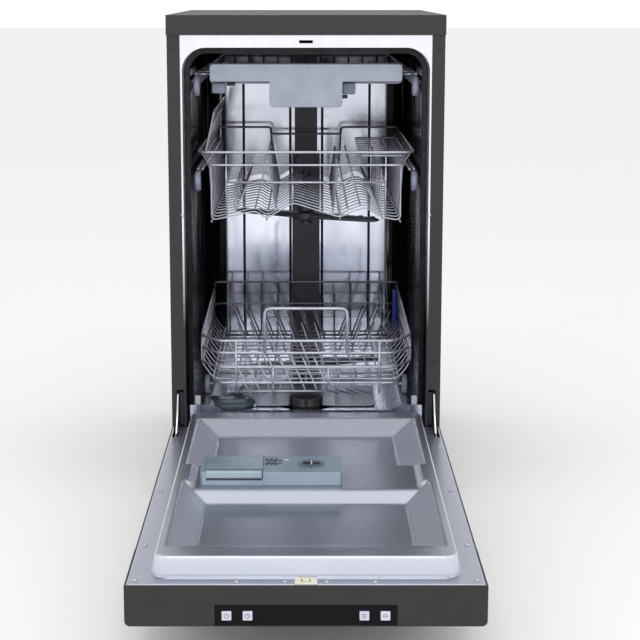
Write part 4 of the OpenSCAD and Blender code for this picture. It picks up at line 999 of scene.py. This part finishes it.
def marks():
    """Plain marks on the four keys: a broken ring with a stroke, a dial with a hand, three bars and a half
    disc, each a thin ridge along its line."""
    def arc(start, end, drop=0.0):
        angle = np.radians(np.linspace(start, end, 22))
        return np.stack([3 * np.cos(angle), 3 * np.sin(angle) - drop], -1)

    drawings = {"button_power": [arc(120, 420), [[0, 0.6], [0, 3.6]]],
                "button_delay": [arc(0, 360), [[0, 2], [0, 0], [1.6, 0]]],
                "button_program": [[[-2.6, z], [2.6, z]] for z in (2.4, 0, -2.4)],
                "button_half_load": [arc(0, 180, 1.0), [[-3, -1], [3, -1]]]}
    for name, lines in drawings.items():
        low, high = box(name)
        middle = (low + high) / 2
        face = low[1] - 0.05 * MM
        bars = []
        for line in lines:
            line = np.asarray(line, float) * MM
            path = np.stack([middle[0] + line[:, 0], np.full(len(line), face), middle[2] + line[:, 1]], -1)
            bars.append(swept(path, 0.32 * MM, 6))
        outward(put(name + "_mark", *joined(bars), MATERIALS["ink_and_shade"], name, slot="button_plastic"))


def dispenser_details():
    """What shows on the dispenser: the lid's raised front lip in a lighter plastic as painted light, dark
    blocks of painted shadow in the gaps below and beside it, six vents as dark blocks of painted shade,
    a light mark, and the dial's grip and pointer."""
    low, high = (np.asarray(corner) - [0, FRONT, 0] for corner in box("dispenser_body"))
    front, top = low[1] / MM, high[2] / MM
    lid = box("dispenser_lid")
    x0, x1 = lid[0][0] / MM, lid[1][0] / MM
    m = MATERIALS
    # painted light: the lip is coloured lighter than the lid
    clip("lid_lip", (x0 + 1, front - 1.8, top - 8.5), (x1 - 1, front + 5, top + 1.2), m["lip"],
         "dispenser_lid", 1, "lid_plastic")
    # painted shadow: dark blocks stand for the shade in the gaps under and beside the lip
    clip("lid_gap_painted_shadow", (x0 + 1, front - 0.4, top - 12), (x1, front + 2, top - 8.5), m["ink_and_shade"], "door", 0.3,
         "dispenser_plastic")
    clip("lid_end_gap_painted_shadow", (x1 - 0.6, front - 0.5, top - 9), (x1 + 0.8, front + 16, top + 0.3), m["ink_and_shade"],
         "door", 0.2, "dispenser_plastic")
    # painted shade: the vents are dark blocks on the top
    for row, y in enumerate((front + 38, front + 57)):
        for column, x in enumerate((x1 + 5, x1 + 12, x1 + 19)):
            clip("vent_%d_%d" % (row, column), (x - 1.9, y - 6.5, top - 0.3), (x + 1.9, y + 6.5, top + 0.25),
                 m["ink_and_shade"], "door", 0.1, "dispenser_plastic")
    clip("dispenser_mark", (x1 + 31, front + 55, top - 0.3), (x1 + 37, front + 58, top + 0.3), m["white"],
         "door", 0.1, "dispenser_plastic")
    dial = box("rinse_dial")
    x, y = (dial[0] + dial[1])[:2] / 2 / MM - [0, FRONT / MM]
    top = dial[1][2] / MM
    clip("dial_grip", (x - 12.5, y - 3.2, top - 0.5), (x + 12.5, y + 3.2, top + 0.6), m["black"],
         "rinse_dial", 0.5, "dial_plastic")
    clip("dial_pointer", (x - 0.6, y - 7.5, top - 0.3), (x + 0.6, y + 7.5, top + 1.1), m["white"],
         "rinse_dial", 0.2, "dial_plastic")


def door_screws():
    """Flange screws: low domed heads with a dished middle, one at each place of the node's own."""
    source = frame["nodes"]["door_screws"].data
    points = np.empty(len(source.vertices) * 3)
    source.vertices.foreach_get("co", points)
    points = points.reshape(-1, 3)
    left = list(range(len(points)))
    heads = []
    while left:
        near = [i for i in left if np.linalg.norm(points[i][:2] - points[left[0]][:2]) < 8 * MM]
        heads.append(points[near].min(0) / 2 + points[near].max(0) / 2)
        left = [i for i in left if i not in set(near)]
    profile = np.array([(0.1, 0.5), (1.3, 0.5), (1.7, 1.3), (2.9, 1.0), (3.6, 0.1)]) * MM
    parts = [turned(profile, (h[0], h[1], h[2] - 0.6 * MM), 20) for h in heads]
    outward(put("flange_screw_heads", *joined(parts), MATERIALS["bright"], "door", ("door_screws",),
                "screw_steel"))


class DISHWASHER_OT_door(bpy.types.Operator):
    """Door panel, liner, hinge arms, latch, console with its keys and window, dispenser, lid and dial."""
    bl_idname = "dishwasher.door"
    bl_label = "Door"

    def execute(self, context):
        m = MATERIALS
        paint(m["body"], "door_panel")
        door_liner()
        door_screws()
        softened("hinge_arms", m["bright"], 0.5 * MM)
        softened("door_latch", m["cream"], 0.6 * MM)
        softened("console", m["console"], 1.0 * MM, 3)
        paint(m["display"], "display_window")
        for name in ("button_power", "button_delay", "button_program", "button_half_load"):
            softened(name, m["button"], 0.9 * MM, 3)
        marks()
        softened("dispenser_body", m["fitting"], 1.4 * MM, 3)
        softened("dispenser_lid", m["lid"], 1.2 * MM, 3)
        softened("rinse_dial", m["dial"], 0.5 * MM)
        dispenser_details()
        return {"FINISHED"}


# ---- stage ----

def lamp(name, place, target, size, power):
    """A soft box at a place, aimed at a target."""
    data = bpy.data.lights.new(name, "AREA")
    data.shape = "RECTANGLE"
    data.size, data.size_y = size
    data.energy = power
    made = bpy.data.objects.new(name, data)
    bpy.context.scene.collection.objects.link(made)
    made.location = place
    aim = np.array(target, float) - np.array(place, float)
    made.rotation_mode = "QUATERNION"
    made.rotation_quaternion = Vector(aim).to_track_quat("-Z", "Y")


class DISHWASHER_OT_stage(bpy.types.Operator):
    """Pale floor, soft studio lights and the camera in front of the opened door."""
    bl_idname = "dishwasher.stage"
    bl_label = "Stage"

    def execute(self, context):
        scene = context.scene
        material, tree, shader, where = finish("pale_studio_floor", "#f4f4f5", 0.6)
        patches = grain(tree, where, 0.4, 3)
        tree.links.new(ramp(tree, patches, 0.3, 0.7, 0.55, 0.65), shader.inputs["Roughness"])
        span = 30.0
        floor = bpy.data.meshes.new("studio_floor")
        floor.from_pydata([(-span, -span, 0), (span, -span, 0), (span, span, 0), (-span, span, 0)], [],
                          [(0, 1, 2, 3)])
        floor.materials.append(material)
        ground = bpy.data.objects.new("studio_floor", floor)
        scene.collection.objects.link(ground)
        world = bpy.data.worlds.new("studio")
        world.use_nodes = True
        sky = world.node_tree
        direction = add(sky, "ShaderNodeTexCoord").outputs["Generated"]
        upward = add(sky, "ShaderNodeSeparateXYZ", {}, {"Vector": direction}).outputs["Z"]
        sky.links.new(ramp(sky, upward, 0.3, 0.95, 1.06, 0.86), sky.nodes["Background"].inputs["Strength"])
        sky.nodes["Background"].inputs["Color"].default_value = (1.0, 1.0, 1.0, 1)
        scene.world = world
        lamp("overhead", (0.0, -1.1, 3.2), (0, -0.3, 0.3), (1.6, 1.2), 14)
        lamp("left_box", (-2.4, -2.2, 1.6), (0, -0.3, 0.4), (0.9, 1.8), 8)
        lamp("right_box", (2.4, -2.2, 1.6), (0, -0.3, 0.4), (0.9, 1.8), 7)
        lamp("front_box", (0.0, -3.6, 1.9), (0, 0.1, 0.5), (1.2, 0.8), 12)
        scene.view_settings.view_transform = "Standard"
        data = bpy.data.cameras.new("front_view")
        data.lens = scene.dishwasher_sizes.lens
        data.shift_x = 0.0219
        data.shift_y = -0.14
        data.clip_end = 60
        camera = bpy.data.objects.new("front_view", data)
        scene.collection.objects.link(camera)
        camera.location = (0, FRONT - 2.372, 0.8574)
        camera.rotation_euler = (math.radians(90 - 9.38), 0, 0)
        scene.camera = camera
        return {"FINISHED"}


class DISHWASHER_PT_panel(bpy.types.Panel):
    """Lists every step in the sidebar."""
    bl_idname = "DISHWASHER_PT_panel"
    bl_label = "Dishwasher"
    bl_space_type = "VIEW_3D"
    bl_region_type = "UI"
    bl_category = "Dishwasher"

    def draw(self, context):
        for step in STEPS:
            self.layout.operator(step.bl_idname)


STEPS = [DISHWASHER_OT_cabinet, DISHWASHER_OT_tub, DISHWASHER_OT_racks, DISHWASHER_OT_door,
         DISHWASHER_OT_stage]
CLASSES = [DishwasherFinishes, DishwasherSizes, *STEPS, DISHWASHER_PT_panel]


def register():
    """Adds the classes and the scene's settings."""
    for made in CLASSES:
        bpy.utils.register_class(made)
    bpy.types.Scene.dishwasher_finishes = bpy.props.PointerProperty(type=DishwasherFinishes)
    bpy.types.Scene.dishwasher_sizes = bpy.props.PointerProperty(type=DishwasherSizes)


def unregister():
    """Removes them again."""
    del bpy.types.Scene.dishwasher_sizes
    del bpy.types.Scene.dishwasher_finishes
    for made in reversed(CLASSES):
        bpy.utils.unregister_class(made)


def main():
    """Builds the whole object and its stage."""
    register()
    make_finishes()
    for step in STEPS:
        group, name = step.bl_idname.split(".")
        getattr(getattr(bpy.ops, group), name)()


if __name__ == "__main__":
    main()
